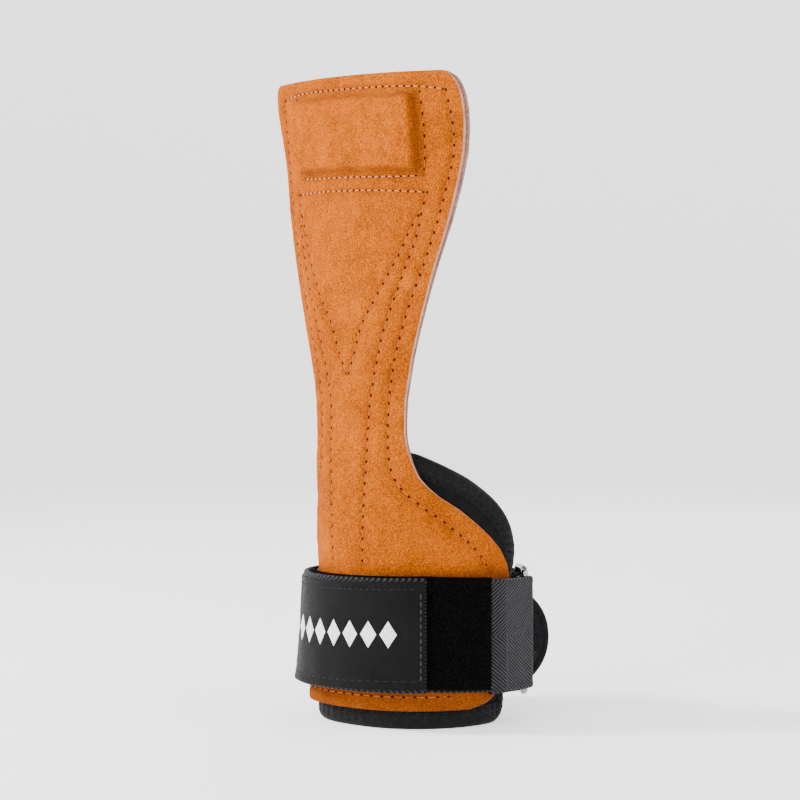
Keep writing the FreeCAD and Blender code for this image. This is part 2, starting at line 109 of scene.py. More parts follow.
def quads(nu, nv, off=0, wrap_u=False, wrap_v=False):
    iu = np.arange(nu if wrap_u else nu - 1)
    iv = np.arange(nv if wrap_v else nv - 1)
    a, b = np.meshgrid(iu, iv, indexing="ij")
    a2, b2 = (a + 1) % nu, (b + 1) % nv
    f = np.stack([a * nv + b, a2 * nv + b, a2 * nv + b2, a * nv + b2], -1).reshape(-1, 4) + off
    return f


def lean(v):
    """the cuff's left flank stands out a little at the bottom and leans in at the top of the strap"""
    v = np.asarray(v, float).copy()
    th, r, z = np.degrees(np.arctan2(v[:, 0], -v[:, 1])), np.hypot(v[:, 0], v[:, 1]), v[:, 2]
    a = np.interp(z, [0, 7, 12, 18, 34, 54, 66], [3.2, 3.0, 2.5, 1.5, 0.4, -0.8, 0.0])
    dr = a * sstep(-th, -5, 40) * (1 - sstep(-th, 80, 125))
    k = np.where(r > 1, (r + dr) / np.maximum(r, 1), 1)
    v[:, 0] *= k
    v[:, 1] *= k
    return v


def build(name, verts, faces, mats, index=None, wuv=None, extra=None, flat=False, rest=None):
    """a mesh object from millimetre points in the cuff frame"""
    v = lean(verts)
    v[:, 1] += SY
    me = bpy.data.meshes.new(name)
    me.from_pydata((v / 1000).tolist(), [], [tuple(int(i) for i in f) for f in faces])
    if index is not None:
        me.polygons.foreach_set("material_index", np.asarray(index, np.int32))
    bm = bmesh.new()
    bm.from_mesh(me)
    bmesh.ops.recalc_face_normals(bm, faces=bm.faces)
    bm.to_mesh(me)
    bm.free()
    for m in mats if isinstance(mats, (list, tuple)) else [mats]:
        me.materials.append(m.m if isinstance(m, Mat) else m)
    at = me.attributes.new("rest", "FLOAT_VECTOR", "POINT")
    at.data.foreach_set("vector", ((v if rest is None else np.asarray(rest)) / 1000).astype(np.float32).ravel())
    if wuv is not None:
        at = me.attributes.new("wuv", "FLOAT_VECTOR", "POINT")
        at.data.foreach_set("vector", np.asarray(wuv, np.float32).ravel())
    for key, val in (extra or {}).items():
        at = me.attributes.new(key, "FLOAT", "POINT")
        at.data.foreach_set("value", np.asarray(val, np.float32).ravel())
    me.polygons.foreach_set("use_smooth", [not flat] * len(me.polygons))
    me.update()
    ob = bpy.data.objects.new(name, me)
    bpy.context.scene.collection.objects.link(ob)
    return ob


def join_parts(parts):
    """stacks (verts, faces, wuv) lists"""
    vs, fs, ws, off = [], [], [], 0
    for v, f, w in parts:
        vs.append(v)
        fs += [tuple(int(i) + off for i in q) for q in f]
        ws.append(w if w is not None else np.zeros_like(v))
        off += len(v)
    return np.concatenate(vs), fs, np.concatenate(ws)


def lin(r, g, b):
    f = lambda c: (c / 255 / 12.92) if c <= 10 else ((c / 255 + 0.055) / 1.055) ** 2.4
    return (f(r), f(g), f(b), 1.0)


# ------------------------------------------------------------------ materials
class Mat:
    def __init__(self, name, rough=0.8, **sockets):
        self.m = bpy.data.materials.new(name)
        self.m.use_nodes = True
        self.t = self.m.node_tree
        self.b = self.t.nodes["Principled BSDF"]
        self.b.inputs["Roughness"].default_value = rough
        for k, v in sockets.items():
            self.b.inputs[k.replace("_", " ")].default_value = v

    def node(self, kind, props=None, **inputs):
        n = self.t.nodes.new(kind)
        for k, v in (props or {}).items():
            setattr(n, k, v)
        for k, v in inputs.items():
            i = int(k[1:]) if k[0] == "_" else k.replace("_", " ")
            if isinstance(v, bpy.types.NodeSocket):
                self.t.links.new(v, n.inputs[i])
            else:
                n.inputs[i].default_value = v
        return n

    def attr(self, name, out="Vector"):
        n = self.t.nodes.new("ShaderNodeAttribute")
        n.attribute_name = name
        return n.outputs[out]

    def noise(self, scale, detail=3, rough=0.55, vec=None, distortion=0.0):
        return self.node("ShaderNodeTexNoise", Vector=vec or self.attr("rest"), Scale=scale, Detail=detail,
                         Roughness=rough, Distortion=distortion).outputs["Fac"]

    def math(self, op, a, b=0.0, c=0.0, clamp=False):
        n = self.node("ShaderNodeMath", {"operation": op, "use_clamp": clamp}, _0=a, _1=b, _2=c)
        return n.outputs[0]

    def ramp(self, fac, stops):
        n = self.node("ShaderNodeValToRGB", Fac=fac)
        e = n.color_ramp.elements
        e[0].position, e[0].color = stops[0]
        e[1].position, e[1].color = stops[-1]
        for p, c in stops[1:-1]:
            k = e.new(p)
            k.color = c
        return n.outputs["Color"]

    def mix(self, fac, a, b, mode="MIX"):
        n = self.t.nodes.new("ShaderNodeMix")
        n.data_type, n.blend_type = "RGBA", mode
        for i, v in ((0, fac), (6, a), (7, b)):
            if isinstance(v, bpy.types.NodeSocket):
                self.t.links.new(v, n.inputs[i])
            else:
                n.inputs[i].default_value = v
        return n.outputs[2]

    def mapr(self, v, a, b, c, d):
        return self.node("ShaderNodeMapRange", _0=v, _1=a, _2=b, _3=c, _4=d).outputs[0]

    def color(self, c):
        self.t.links.new(c, self.b.inputs["Base Color"])

    def rough(self, c):
        self.t.links.new(c, self.b.inputs["Roughness"])

    def bump(self, height, dist, strength=1.0, prev=None):
        n = self.node("ShaderNodeBump", Height=height, Distance=dist, Strength=strength)
        if prev is not None:
            self.t.links.new(prev, n.inputs["Normal"])
        self.t.links.new(n.outputs[0], self.b.inputs["Normal"])
        return n.outputs[0]


def make_suede(name, dark, mid, light, painted_shade_color, sheen=0.03):
    """dark, mid, light: linear colours of the nap; painted_shade_color: the dark colour mixed in as painted shade by
    the 'shade' attribute
    """
    m = Mat(name, 0.95, Sheen_Weight=sheen, Sheen_Roughness=0.5, Sheen_Tint=(1.0, 0.42, 0.14, 1), Specular_IOR_Level=0.03)
    big = m.noise(34, 3, 0.6, distortion=0.8)
    mid_n = m.noise(210, 3, 0.6)
    fine = m.noise(1950, 3, 0.72)
    grain = m.noise(4200, 2, 0.6)
    f = m.math("MULTIPLY_ADD", big, 0.20, 0.0)
    f = m.math("MULTIPLY_ADD", mid_n, 0.12, f)
    f = m.math("MULTIPLY_ADD", fine, 0.72, f)
    f = m.math("MULTIPLY_ADD", grain, 0.56, f)
    f = m.mapr(f, 0.67, 0.94, 0.0, 1.0)
    c = m.ramp(f, [(0.0, dark), (0.5, mid), (1.0, light)])
    # painted shade: the 'shade' attribute mixes a dark brown into the nap along the seam grooves, round the raised
    # rectangle and under the strap
    shade = m.attr("shade", "Fac")
    c = m.mix(shade, c, painted_shade_color)
    m.color(c)
    nrm = m.bump(fine, 0.00025, 0.6)
    nrm = m.bump(grain, 0.00012, 0.6, nrm)
    m.bump(mid_n, 0.0003, 0.35, nrm)
    return m


# the last colour of each suede is its painted shade colour
SUEDE = make_suede("suede", (0.118, 0.0225, 0.0006, 1), (0.275, 0.0565, 0.0004, 1), (0.54, 0.122, 0.0012, 1), (0.032, 0.010, 0.004, 1))
BACK = make_suede("back_leather", (0.24, 0.10, 0.055, 1), (0.36, 0.17, 0.105, 1), (0.50, 0.26, 0.18, 1), (0.10, 0.04, 0.03, 1), 0.05)


def make_edge(name, dark, mid, light):
    m = Mat(name, 0.9, Specular_IOR_Level=0.1)
    n1 = m.noise(1100, 4, 0.7)
    n2 = m.noise(160, 3, 0.6)
    c = m.ramp(m.math("MULTIPLY_ADD", n1, 0.7, m.math("MULTIPLY", n2, 0.3)), [(0.34, dark), (0.5, mid), (0.68, light)])
    m.color(c)
    m.bump(n1, 0.0003, 0.6)
    return m


EDGE = make_edge("cut_edge", (0.11, 0.052, 0.048, 1), (0.24, 0.125, 0.112, 1), (0.42, 0.25, 0.22, 1))
EDGE_PALE = make_edge("cut_edge_face", (0.27, 0.115, 0.060, 1), (0.42, 0.20, 0.125, 1), (0.56, 0.32, 0.23, 1))


def make_thread(name, a, b, rough=0.6):
    m = Mat(name, rough, Specular_IOR_Level=0.15)
    w = m.attr("wuv")
    x = m.node("ShaderNodeSeparateXYZ", _0=w)
    t = m.math("SINE", m.math("MULTIPLY_ADD", x.outputs[0], 9.0, m.math("MULTIPLY", x.outputs[1], 1.0)))
    c = m.ramp(m.math("MULTIPLY_ADD", t, 0.5, 0.5), [(0.0, lin(*a)), (1.0, lin(*b))])
    m.color(c)
    m.bump(t, 0.00008, 0.7)
    return m


THREAD = make_thread("thread", (156, 82, 44), (204, 126, 80))
THREAD_BACK = make_thread("thread_back", (170, 112, 80), (232, 176, 138))
THREAD_SUNK = make_thread("thread_sunk", (150, 66, 20), (190, 92, 34))
DARK_THREAD = make_thread("dark_thread", (12, 12, 13), (40, 40, 43))
PAD_THREAD = make_thread("binding_thread", (6, 6, 7), (20, 20, 22))
LABEL_THREAD = make_thread("label_thread", (6, 6, 7), (24, 24, 26))
LABEL_COLUMN = make_thread("label_column_thread", (30, 30, 32), (66, 66, 70))


def make_plain(name, col, rough, **k):
    m = Mat(name, rough, **k)
    n = m.noise(1400, 3, 0.6)
    a = np.array(lin(*col))
    m.color(m.ramp(n, [(0.3, tuple(np.append(a[:3] * 0.6, 1))), (0.7, tuple(np.append(a[:3] * 1.35, 1)))]))
    m.bump(n, 0.00006, 0.5)
    return m


HOLE = make_plain("stitch_hole", (40, 12, 4), 0.95, Specular_IOR_Level=0.05)
HOLE_DARK = make_plain("pad_hole", (8, 8, 9), 0.95, Specular_IOR_Level=0.05)
PRINT = make_plain("white_print", (215, 215, 213), 0.5)


def make_neoprene(name, dark, light, speck, fine=1500, bump=0.0002, rough=0.75):
    m = Mat(name, rough, Specular_IOR_Level=0.06)
    a, b = m.noise(fine, 4, 0.75), m.noise(fine * 0.22, 3, 0.6)
    v = m.node("ShaderNodeTexVoronoi", {"feature": "F1"}, Vector=m.attr("rest"), Scale=fine * 0.7).outputs["Distance"]
    f = m.math("MULTIPLY_ADD", a, 0.7, m.math("MULTIPLY", b, 0.3))
    c = m.ramp(f, [(0.36, lin(*dark)), (0.60, lin(*light)), (0.74, lin(*speck))])
    m.color(c)
    nrm = m.bump(a, bump, 0.7)
    m.bump(v, bump * 0.8, 0.5, nrm)
    return m


NEO = make_neoprene("neoprene", (6, 6, 7), (15, 15, 17), (30, 31, 34), 1100, 0.00012, 0.7)
NEO_TAB = make_neoprene("neoprene_tab", (7, 7, 8), (26, 27, 29), (92, 94, 98), 1350, 0.0003, 0.8)
BIND_M = make_neoprene("binding", (8, 8, 9), (20, 20, 22), (38, 39, 42), 1600, 0.00014, 0.62)
LINING = make_neoprene("neoprene_skin", (10, 10, 11), (24, 24, 27), (42, 42, 46), 2200, 0.0002, 0.85)


def make_webbing(name, dark, light, pitch=1.15, mid=20.0, slope=0.62):
    m = Mat(name, 0.5, Specular_IOR_Level=0.06)
    x = m.node("ShaderNodeSeparateXYZ", _0=m.attr("wuv"))
    u, v = x.outputs[0], x.outputs[1]
    wob = m.math("MULTIPLY_ADD", m.noise(260, 2, 0.5), 0.5, -0.25)
    d = m.math("ABSOLUTE", m.math("SUBTRACT", v, mid))
    ph = m.math("MULTIPLY", m.math("ADD", m.math("SUBTRACT", d, m.math("MULTIPLY", u, slope)), wob),
                TAU / (pitch * math.sqrt(1 + slope * slope)))
    st = m.math("SINE", ph)
    # short cross yarns along each strand
    ph2 = m.math("MULTIPLY", m.math("ADD", d, m.math("MULTIPLY", u, 1.0)), TAU / (0.8))
    st2 = m.math("SINE", m.math("ADD", ph2, m.math("MULTIPLY", m.noise(1800, 2, 0.6), 5.0)))
    h = m.math("MULTIPLY_ADD", st2, 0.10, m.math("MULTIPLY", st, 0.50))
    fine = m.noise(2600, 3, 0.7)
    f = m.math("MULTIPLY_ADD", fine, 0.36, m.math("ADD", h, 0.28))
    c = m.ramp(f, [(0.20, lin(*dark)), (0.55, tuple(0.25 * (np.array(lin(*light))) + 0.75 * np.array(lin(*dark)))), (0.95, lin(*light))])
    m.color(c)
    nrm = m.bump(h, 0.00030, 0.9)
    m.bump(fine, 0.00008, 0.5, nrm)
    return m


WEB = make_webbing("webbing", (1, 1, 1), (54, 55, 59))
WEB_BACK = make_webbing("webbing_strap", (4, 4, 5), (46, 47, 50))


def make_loop(name, dark, light):
    m = Mat(name, 0.95, Specular_IOR_Level=0.02)
    a, b = m.noise(1100, 5, 0.8, distortion=1.2), m.noise(300, 3, 0.6)
    m.color(m.ramp(m.math("MULTIPLY_ADD", a, 0.75, m.math("MULTIPLY", b, 0.25)),
                   [(0.34, lin(*dark)), (0.62, lin(*light))]))
    m.bump(a, 0.0006, 0.9)
    return m


LOOP = make_loop("loop_tape", (1, 1, 1), (10, 10, 11))
HOOK = make_loop("hook_tape", (3, 3, 3), (16, 16, 18))
FUZZ = make_plain("loop_fuzz", (13, 13, 14), 0.8, Specular_IOR_Level=0.08)


def make_label():
    m = Mat("label", 0.5, Specular_IOR_Level=0.06)
    x = m.node("ShaderNodeSeparateXYZ", _0=m.attr("wuv"))
    w = m.math("ADD", m.math("SINE", m.math("MULTIPLY", x.outputs[0], TAU / 0.42)),
               m.math("SINE", m.math("MULTIPLY", x.outputs[1], TAU / 0.36)))
    n = m.noise(700, 4, 0.6)
    big = m.noise(60, 3, 0.6)
    f = m.math("MULTIPLY_ADD", n, 0.55, m.math("MULTIPLY", big, 0.45))
    m.color(m.ramp(f, [(0.35, lin(5, 5, 6)), (0.65, lin(13, 13, 15))]))
    m.rough(m.mapr(n, 0.3, 0.7, 0.42, 0.6))
    nrm = m.bump(w, 0.00003, 0.35)
    m.bump(n, 0.00008, 0.4, nrm)
    return m


LABEL = make_label()


def make_chrome():
    m = Mat("chrome", 0.14, Metallic=1.0)
    n = m.noise(900, 3, 0.6)
    m.color(m.ramp(n, [(0.3, (0.24, 0.245, 0.26, 1)), (0.7, (0.36, 0.365, 0.38, 1))]))
    m.rough(m.mapr(n, 0.3, 0.75, 0.08, 0.24))
    m.bump(n, 0.00002, 0.3)
    return m


CHROME = make_chrome()

# ------------------------------------------------------------------ tongue and leather base
WID = table([(0, 47), (7.2, 47), (8.4, 54.9), (11.8, 61.9), (19, 66.8), (30, 69.9), (42, 71.8), (51, 72.3), (57.6, 69.7),
             (63.4, 64.6), (68.6, 58.1), (73.7, 51.2), (78.9, 44.0), (82.9, 37.3), (86.6, 32.7), (90.5, 29.2), (95.6, 26.8),
             (101.5, 25.0), (106, 24.3), (112, 24.2), (117.7, 24.4), (122, 25.2), (126.7, 26.3), (133.2, 27.8),
             (139.3, 29.7), (146.1, 31.8), (153, 34.0), (159.8, 36.1), (166.7, 38.2), (173.5, 40.4), (180.7, 42.5),
             (187, 44.0), (192, 45.1), (198, 46.4), (204.1, 47.6), (209.5, 48.3), (214.9, 48.8), (220.3, 49.0),
             (224, 48.8), (226.5, 48.35), (228.5, 47.7), (230.5, 46.6), (232, 45.2), (233.0, 43.6), (233.6, 41.4), (240, 41.4)], 0.5)
WIDL = lambda z: WID(z) + 1.6 * sstep(z, 196, 222) + np.interp(z, [222, 226.5, 228.5, 230.5, 232, 233.0, 233.6], [0, 0.4, 0.9, 1.6, 2.4, 2.9, 2.9])
RHO = table([(0, 37), (86, 37), (96, 38.6), (107, 41.0), (118, 45.0), (127, 49.0), (139, 56.0), (153, 66.0), (167, 78.0),
             (181, 92.0), (192, 104.0), (204, 114.0), (215, 122.0), (226, 127.0), (240, 130.0)], 4.0)
FRONT = table([(0, 37), (86, 37.0), (95, 36.7), (107, 36.3), (118, 35.7), (127, 36.1), (140, 36.9), (155, 37.3), (167, 37.0),
               (181, 35.8), (192, 34.5), (204, 33.8), (215, 34.2), (226, 35.8), (240, 36.8)], 3.5)
TOP, BOT = 233.6, 7.2
SEAM_A = [(42.8, 226.9), (43.9, 218.7), (44.4, 211.1), (43.8, 203.2), (42.0, 195.4), (40.2, 187.6), (38.4, 180.3),
          (35.9, 172.4), (33.4, 165.1), (30.3, 157.4), (27.4, 150.5), (24.6, 142.8), (21.7, 134.7), (19.7, 126.9),
          (18.2, 118.4), (17.8, 110.6), (17.9, 102.4), (18.6, 94.8), (20.0, 90.7), (22.1, 87.2), (24.9, 84.2),
          (27.8, 81.9), (31.3, 79.2), (34.9, 76.9), (38.5, 74.4), (41.8, 71.7), (45.6, 68.9), (49.2, 66.0),
          (52.8, 62.6), (55.9, 59.2), (58.5, 55.5)]
SEAM_B = [(34, 190.6), (32.9, 186.5), (32.0, 182.3), (31.3, 178.1), (29.2, 171.0), (26.2, 163.5), (23.3, 156.2),
          (20, 148.8), (16.8, 141.1), (14.3, 133), (12.1, 125.2), (10.4, 117), (9.9, 109.5), (9.6, 100.9),
          (9.2, 92.5), (8.7, 84.5), (8.3, 76.3), (8.0, 69.1), (7.9, 57)]
SEAM_C = [(31.0, 182.4), (27.8, 177.2), (24.7, 170.2), (21.0, 163.7), (16.8, 157.1), (12.4, 150.8), (7.8, 144.1), (4.0, 134.5), (0.2, 126.3)]
TOP_1 = [(0, 228.6), (12, 228.6), (24, 228.5), (36, 227.9), (42.8, 226.9)]
TOP_2 = [(0, 196.2), (12, 196.2), (24, 196.2), (32.4, 196.6)]
TOP_3 = [(0, 191.4), (12, 191.3), (24, 191.0), (34, 190.6)]
SIDE_P = [(32.5, 226.4), (32.8, 218), (32.8, 205), (32.4, 196.6)]
SEAMS = {"A": smooth_line(SEAM_A), "B": smooth_line(SEAM_B), "C": smooth_line(SEAM_C), "T1": smooth_line(TOP_1),
         "T2": smooth_line(TOP_2), "T3": smooth_line(TOP_3), "P": smooth_line(SIDE_P)}


def lift_of(s, z):
    """the rows of the tongue run a little uphill to the left"""
    k = 0.056 * sstep(z, 118, 186) - 0.009 * sstep(z, 226, 234)
    return k * (34 - 12 * sstep(z, 198, 234) - s)


def surf(s, z, depth):
    rho = RHO(z)
    a = s / rho
    r = rho - depth
    return np.stack([r * np.sin(a), rho - FRONT(z) - r * np.cos(a), z + lift_of(s, z)], -1)


def outline_of(ext):
    zz = np.concatenate([np.arange(BOT, 222, 1.5), np.arange(222, TOP, 0.35), [TOP]])
    w = WID(zz) + ext(zz)
    wl = WIDL(zz) + ext(zz)
    r, l = np.stack([w, zz], -1), np.stack([-wl, zz], -1)
    top = np.stack([np.linspace(w[-1], -wl[-1], 40), np.full(40, TOP)], -1)
    bot = np.stack([np.linspace(-w[0], w[0], 40), np.full(40, BOT)], -1)
    return np.concatenate([r, top, l[::-1], bot])


def seam_field(s, z, names=None):
    d = np.full(np.asarray(s).size, 1e9)
    for k, line in SEAMS.items():
        if names and k not in names:
            continue
        d = np.minimum(d, line_distance(np.abs(s), z, line[::3] if len(line) > 60 else line))
    return d


def bump_k(s, z):
    return (1 - sstep(np.abs(s), 28.3, 30.9)) * sstep(z, 197.4, 200.2) * (1 - sstep(z, 223.8, 226.6))


def relief(s, z):
    """depth of the suede face: grooves at the seams, soft filling between them, and the raised rectangle"""
    s, z = np.asarray(s, float).ravel(), np.asarray(z, float).ravel()
    d = seam_field(s, z)
    g = 0.42 * np.exp(-(d / 0.95) ** 2) - 0.30 * (1 - np.exp(-(d / 3.5) ** 2))
    up = 2.9 * bump_k(s, z)
    soft = 0.22 * wave_noise(s, z, 26, 3) * sstep(z, 95, 125) + 0.07 * wave_noise(s, z, 7, 5)
    # pulled a little between the seams of the narrow neck
    return g - up + soft * (1 - 0.6 * np.exp(-d / 3)), d


def tongue_layer(name, mats, depth0, depth1, ext, is_face, body_rows):
    ob = []
    zs = np.concatenate([BOT + np.array([0, .1, .25, .5, .8]), np.arange(8.6, 126, 0.62), [126.0], np.arange(126.6, 166.2, 0.62), [166.5],
                         np.arange(167.1, TOP - 0.9, 0.62), TOP - np.array([.8, .5, .25, .1, 0])])
    outline = outline_of(ext)
    edge = np.array([0, .08, .2, .38, .62, 1.2])
    ncol = 150
    t_in = np.linspace(-1, 1, ncol)
    s_all = np.zeros((len(zs), ncol + 12))
    for i, z in enumerate(zs):
        w, wl = float(WID(z) + ext(z)), float(WIDL(z) + ext(z))
        s_all[i] = np.concatenate([-wl + edge, np.linspace(-wl + 2.0, w - 2.0, ncol), (w - edge)[::-1]])
    nv = s_all.shape[1]
    z_all = np.repeat(zs[:, None], nv, 1)
    s, z = s_all.ravel(), z_all.ravel()
    d_edge = line_distance(s, z, outline)
    rr = 0.45 if is_face else 0.6
    q = np.clip(rr - d_edge, 0, rr)
    rnd = rr - np.sqrt(np.maximum(rr * rr - q * q, 0))
    rel, d_seam = relief(s, z)
    if is_face:
        df = depth0 + rel * np.clip(d_edge / 1.2, 0, 1) + rnd * 0.8
        db = np.full_like(df, depth1)
        db = db - 2.9 * bump_k(s, z) * np.clip(d_edge / 1.2, 0, 1)
    else:
        df = np.full_like(s, depth0)
        g = -0.35 * np.exp(-(seam_field(s, z) / 1.0) ** 2)
        db = depth1 - rnd * 0.8 + g + 0.08 * wave_noise(s, z, 9, 15)
    front = surf(s, z, df).reshape(len(zs), nv, 3)
    back = surf(s, z, db).reshape(len(zs), nv, 3)
    # painted shade: darker along the seam grooves, and strongly darker below z 53–60, where the strap covers the
    # leather
    shade = 0.16 * np.exp(-(d_seam / 0.8) ** 2) + 0.08 * np.exp(-(d_seam / 2.6) ** 2) + 0.55 * (1 - sstep(z, 53, 60))
    box = np.maximum(np.abs(s) - 30.6, np.maximum(197.6 - z, z - 226.4))          # distance from the raised rectangle, for the painted shade round its foot
    # painted shade round the foot of the raised rectangle, deeper on its right side, the side away from the light
    shade = shade + (0.20 + 0.26 * sstep(s, 20, 30)) * np.exp(-((box + 0.3) / 1.4) ** 2)
    if not is_face:
        shade *= 0.6
    shade = np.clip(shade, 0, 0.9).reshape(len(zs), nv)
    cut = [0, int(np.argmin(abs(zs - 126.0))), int(np.argmin(abs(zs - 166.5))), len(zs) - 1]
    for k in range(3):
        a, b = cut[k], cut[k + 1] + 1
        n = b - a
        loop = np.concatenate([front[a:b], back[a:b, ::-1]], 1)            # section loop of 2*nv points
        sh = np.concatenate([shade[a:b], shade[a:b, ::-1]], 1)
        m = loop.shape[1]
        f = quads(n, m, wrap_v=True)
        col = (np.arange(len(f)) % m)
        idx = np.where((col == nv - 1) | (col == m - 1), 1, 0)
        if is_face:
            idx = np.where((col < 3) | (col >= nv - 4) & (col <= nv + 5) | (col >= m - 6), 1, idx)
        else:
            idx = np.where((col < 5) | ((col >= nv - 6) & (col < nv + 4)) | (col >= m - 5), 1, idx)
        V = [loop.reshape(-1, 3)]
        F = [tuple(x) for x in f]
        I = list(idx)
        S = [sh.ravel()]
        off = n * m
        for row, real in ((0, k == 0), (n - 1, k == 2)):
            ring = loop[row]
            V.append(ring)
            S.append(sh[row])
            F += [(off + j, off + j + 1, off + m - 2 - j, off + m - 1 - j) for j in range(nv - 1)]
            I += [1 if real else 0] * (nv - 1)
            off += m
        o = build(name + "_" + body_rows[k], np.concatenate(V), F, mats, index=I, extra={"shade": np.concatenate(S)})
        ob.append(o)
    return ob


PARTS3 = ("base", "middle", "tip")


def blend3(o):
    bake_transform(o)


zero = lambda z: np.zeros_like(np.asarray(z, float))
ext_back = lambda z: 0.25 + 0.65 * sstep(z, 135, 205)
face = tongue_layer("suede_face", [SUEDE, EDGE_PALE], 0.0, 1.8, zero, True, PARTS3)
back = tongue_layer("leather_back", [BACK, EDGE], 1.82, 3.6, ext_back, False, PARTS3)
for k, (o, nodes) in enumerate(zip(face, (("face_suede_base", "face_suede_lower", "core_web_base", "core_web_lower"),
                                         ("face_suede_middle", "core_web_middle"), ("face_suede_tip", "tip_filler")))):
    blend3(o)
    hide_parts(*nodes)
for k, (o, nodes) in enumerate(zip(back, (("back_leather_base", "back_leather_lower"), ("back_leather_middle",), ("back_leather_tip",)))):
    blend3(o)
    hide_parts(*nodes)


# ------------------------------------------------------------------ stitches
def capsules(items, sides=7, rings=(0.0, 0.10, 0.28, 0.5, 0.72, 0.90, 1.0)):
    """soft little threads: (a, b, normal, radius, arch)"""
    prof = np.array([0.25, 0.72, 0.97, 1.0, 0.97, 0.72, 0.25])
    V, F, W = [], [], []
    off = 0
    for a, b, n, r, arch in items:
        x = b - a
        L = np.linalg.norm(x)
        x = x / L
        n = n - x * (n @ x)
        n = n / np.linalg.norm(n)
        y = np.cross(n, x)
        for t, p in zip(rings, prof):
            c = a + x * (L * t) + n * (arch * (4 * t * (1 - t)) - r * 0.15)
            for j in range(sides):
                g = TAU * j / sides
                V.append(c + (y * math.cos(g) + n * math.sin(g) * 0.85) * r * p)
                W.append((L * t, g, 0))
        nr = len(rings)
        for i in range(nr - 1):
            for j in range(sides):
                F.append((off + i * sides + j, off + i * sides + (j + 1) % sides, off + (i + 1) * sides + (j + 1) % sides, off + (i + 1) * sides + j))
        F.append(tuple(off + j for j in range(sides))[::-1])
        F.append(tuple(off + (nr - 1) * sides + j for j in range(sides)))
        off += nr * sides
    return np.array(V), F, np.array(W)


def dimples(items, sides=12):
    """stitch holes: (centre, normal, direction, long radius, short radius)"""
    V, F = [], []
    for c, n, x, ra, rb in items:
        x = x - n * (x @ n)
        x = x / np.linalg.norm(x)
        y = np.cross(n, x)
        off = len(V)
        for k, (q, h) in enumerate(((1.0, -0.10), (0.88, 0.10), (0.45, 0.09))):
            for j in range(sides):
                g = TAU * j / sides
                V.append(c + x * (ra * q * math.cos(g)) + y * (rb * q * math.sin(g)) + n * h)
        V.append(c + n * 0.07)
        for k in range(2):
            for j in range(sides):
                F.append((off + k * sides + j, off + k * sides + (j + 1) % sides, off + (k + 1) * sides + (j + 1) % sides, off + (k + 1) * sides + j))
        for j in range(sides):
            F.append((off + 2 * sides + j, off + 2 * sides + (j + 1) % sides, off + 3 * sides))
    return np.array(V), F


def face_points(s, z, lift=0.0, back_side=False):
    s, z = np.asarray(s, float), np.asarray(z, float)
    if back_side:
        dep = 3.6 - 0.35 + 0.12 + lift
        p = surf(s, z, dep)
        a = s / RHO(z)
        return p, np.stack([-np.sin(a), np.cos(a), np.zeros_like(a)], -1)
    rel, _ = relief(s, z)
    p = surf(s, z, rel - lift)
    e = 0.4
    ru, _ = relief(s, z + e)
    rd, _ = relief(s, z - e)
    rl, _ = relief(s + e, z)
    rr_, _ = relief(s - e, z)
    pu, pd = surf(s, z + e, ru), surf(s, z - e, rd)
    pr, pl = surf(s + e, z, rl), surf(s - e, z, rr_)
    n = np.cross(pr - pl, pu - pd)
    n = n / np.linalg.norm(n, axis=1)[:, None]
    a = s / RHO(z)
    out = np.stack([np.sin(a), -np.cos(a), 0 * a], -1)
    sign = np.sign((n * out).sum(1))
    return p, n * sign[:, None]


groups = [dict(thread=[], sunk=[], hole=[], back=[]) for _ in range(3)]
for name, line in SEAMS.items():
    row = name in ("T1", "T2", "T3")
    pitch = 3.1 if row else 3.95
    rs = resample(line, 0.25)
    L = (len(rs) - 1) * 0.25
    n = int(L / pitch)
    sides = (1, -1)
    for sg in sides:
        ks = np.arange(n + 1) * pitch
        if row:
            ks = ks + pitch / 2 if sg > 0 else ks + pitch / 2
            ks = ks[ks < L]
        holes = np.stack([np.interp(ks / 0.25, np.arange(len(rs)), rs[:, i]) for i in (0, 1)], -1)
        if row and sg > 0:
            holes = np.concatenate([[[-holes[0][0], holes[0][1]]], holes])
        hs, hz = holes[:, 0] * sg, holes[:, 1]
        P, N = face_points(hs, hz, 0.02)
        PB, NBk = face_points(hs, hz, 0.0, True)
        for i in range(len(hs)):
            zc = hz[i]
            if zc < 55.5:
                continue
            k = 0 if zc < 126 else 1 if zc < 166.5 else 2
            j = min(i + 1, len(hs) - 1)
            dirv = (P[j] - P[j - 1])
            if not (row and sg < 0 and i == 0 and False):
                groups[k]["hole"].append((P[i], N[i], dirv, 0.52 if row else 0.62, 0.38 if row else 0.42))
            if i + 1 < len(hs):
                zm = (hz[i] + hz[i + 1]) / 2
                kk = 0 if zm < 126 else 1 if zm < 166.5 else 2
                x = (P[i + 1] - P[i])
                u = x / np.linalg.norm(x)
                gap = 0.50 if row else 0.50
                groups[kk]["thread" if row else "sunk"].append(
                    (P[i] + u * gap, P[i + 1] - u * gap, (N[i] + N[i + 1]) / 2, 0.28 if row else 0.22, 0.10 if row else -0.03))
                xb = PB[i + 1] - PB[i]
                ub = xb / np.linalg.norm(xb)
                groups[kk]["back"].append((PB[i] + ub * 0.2, PB[i + 1] - ub * 0.2, (NBk[i] + NBk[i + 1]) / 2, 0.30, 0.06))
NODE_OF = (("seam_thread_base", "seam_thread_lower"), ("seam_thread_middle",), ("seam_thread_tip",))
for k, g in enumerate(groups):
    for key, mat in (("thread", THREAD), ("sunk", THREAD_SUNK), ("back", THREAD_BACK)):
        if g[key]:
            V, F, W = capsules(g[key])
            o = build("seam_%s_%s" % (key, PARTS3[k]), V, F, mat, wuv=W)
            blend3(o)
            if key == "sunk":
                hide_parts(*NODE_OF[k])
    V, F = dimples(g["hole"])
    o = build("seam_holes_" + PARTS3[k], V, F, HOLE)
    blend3(o)

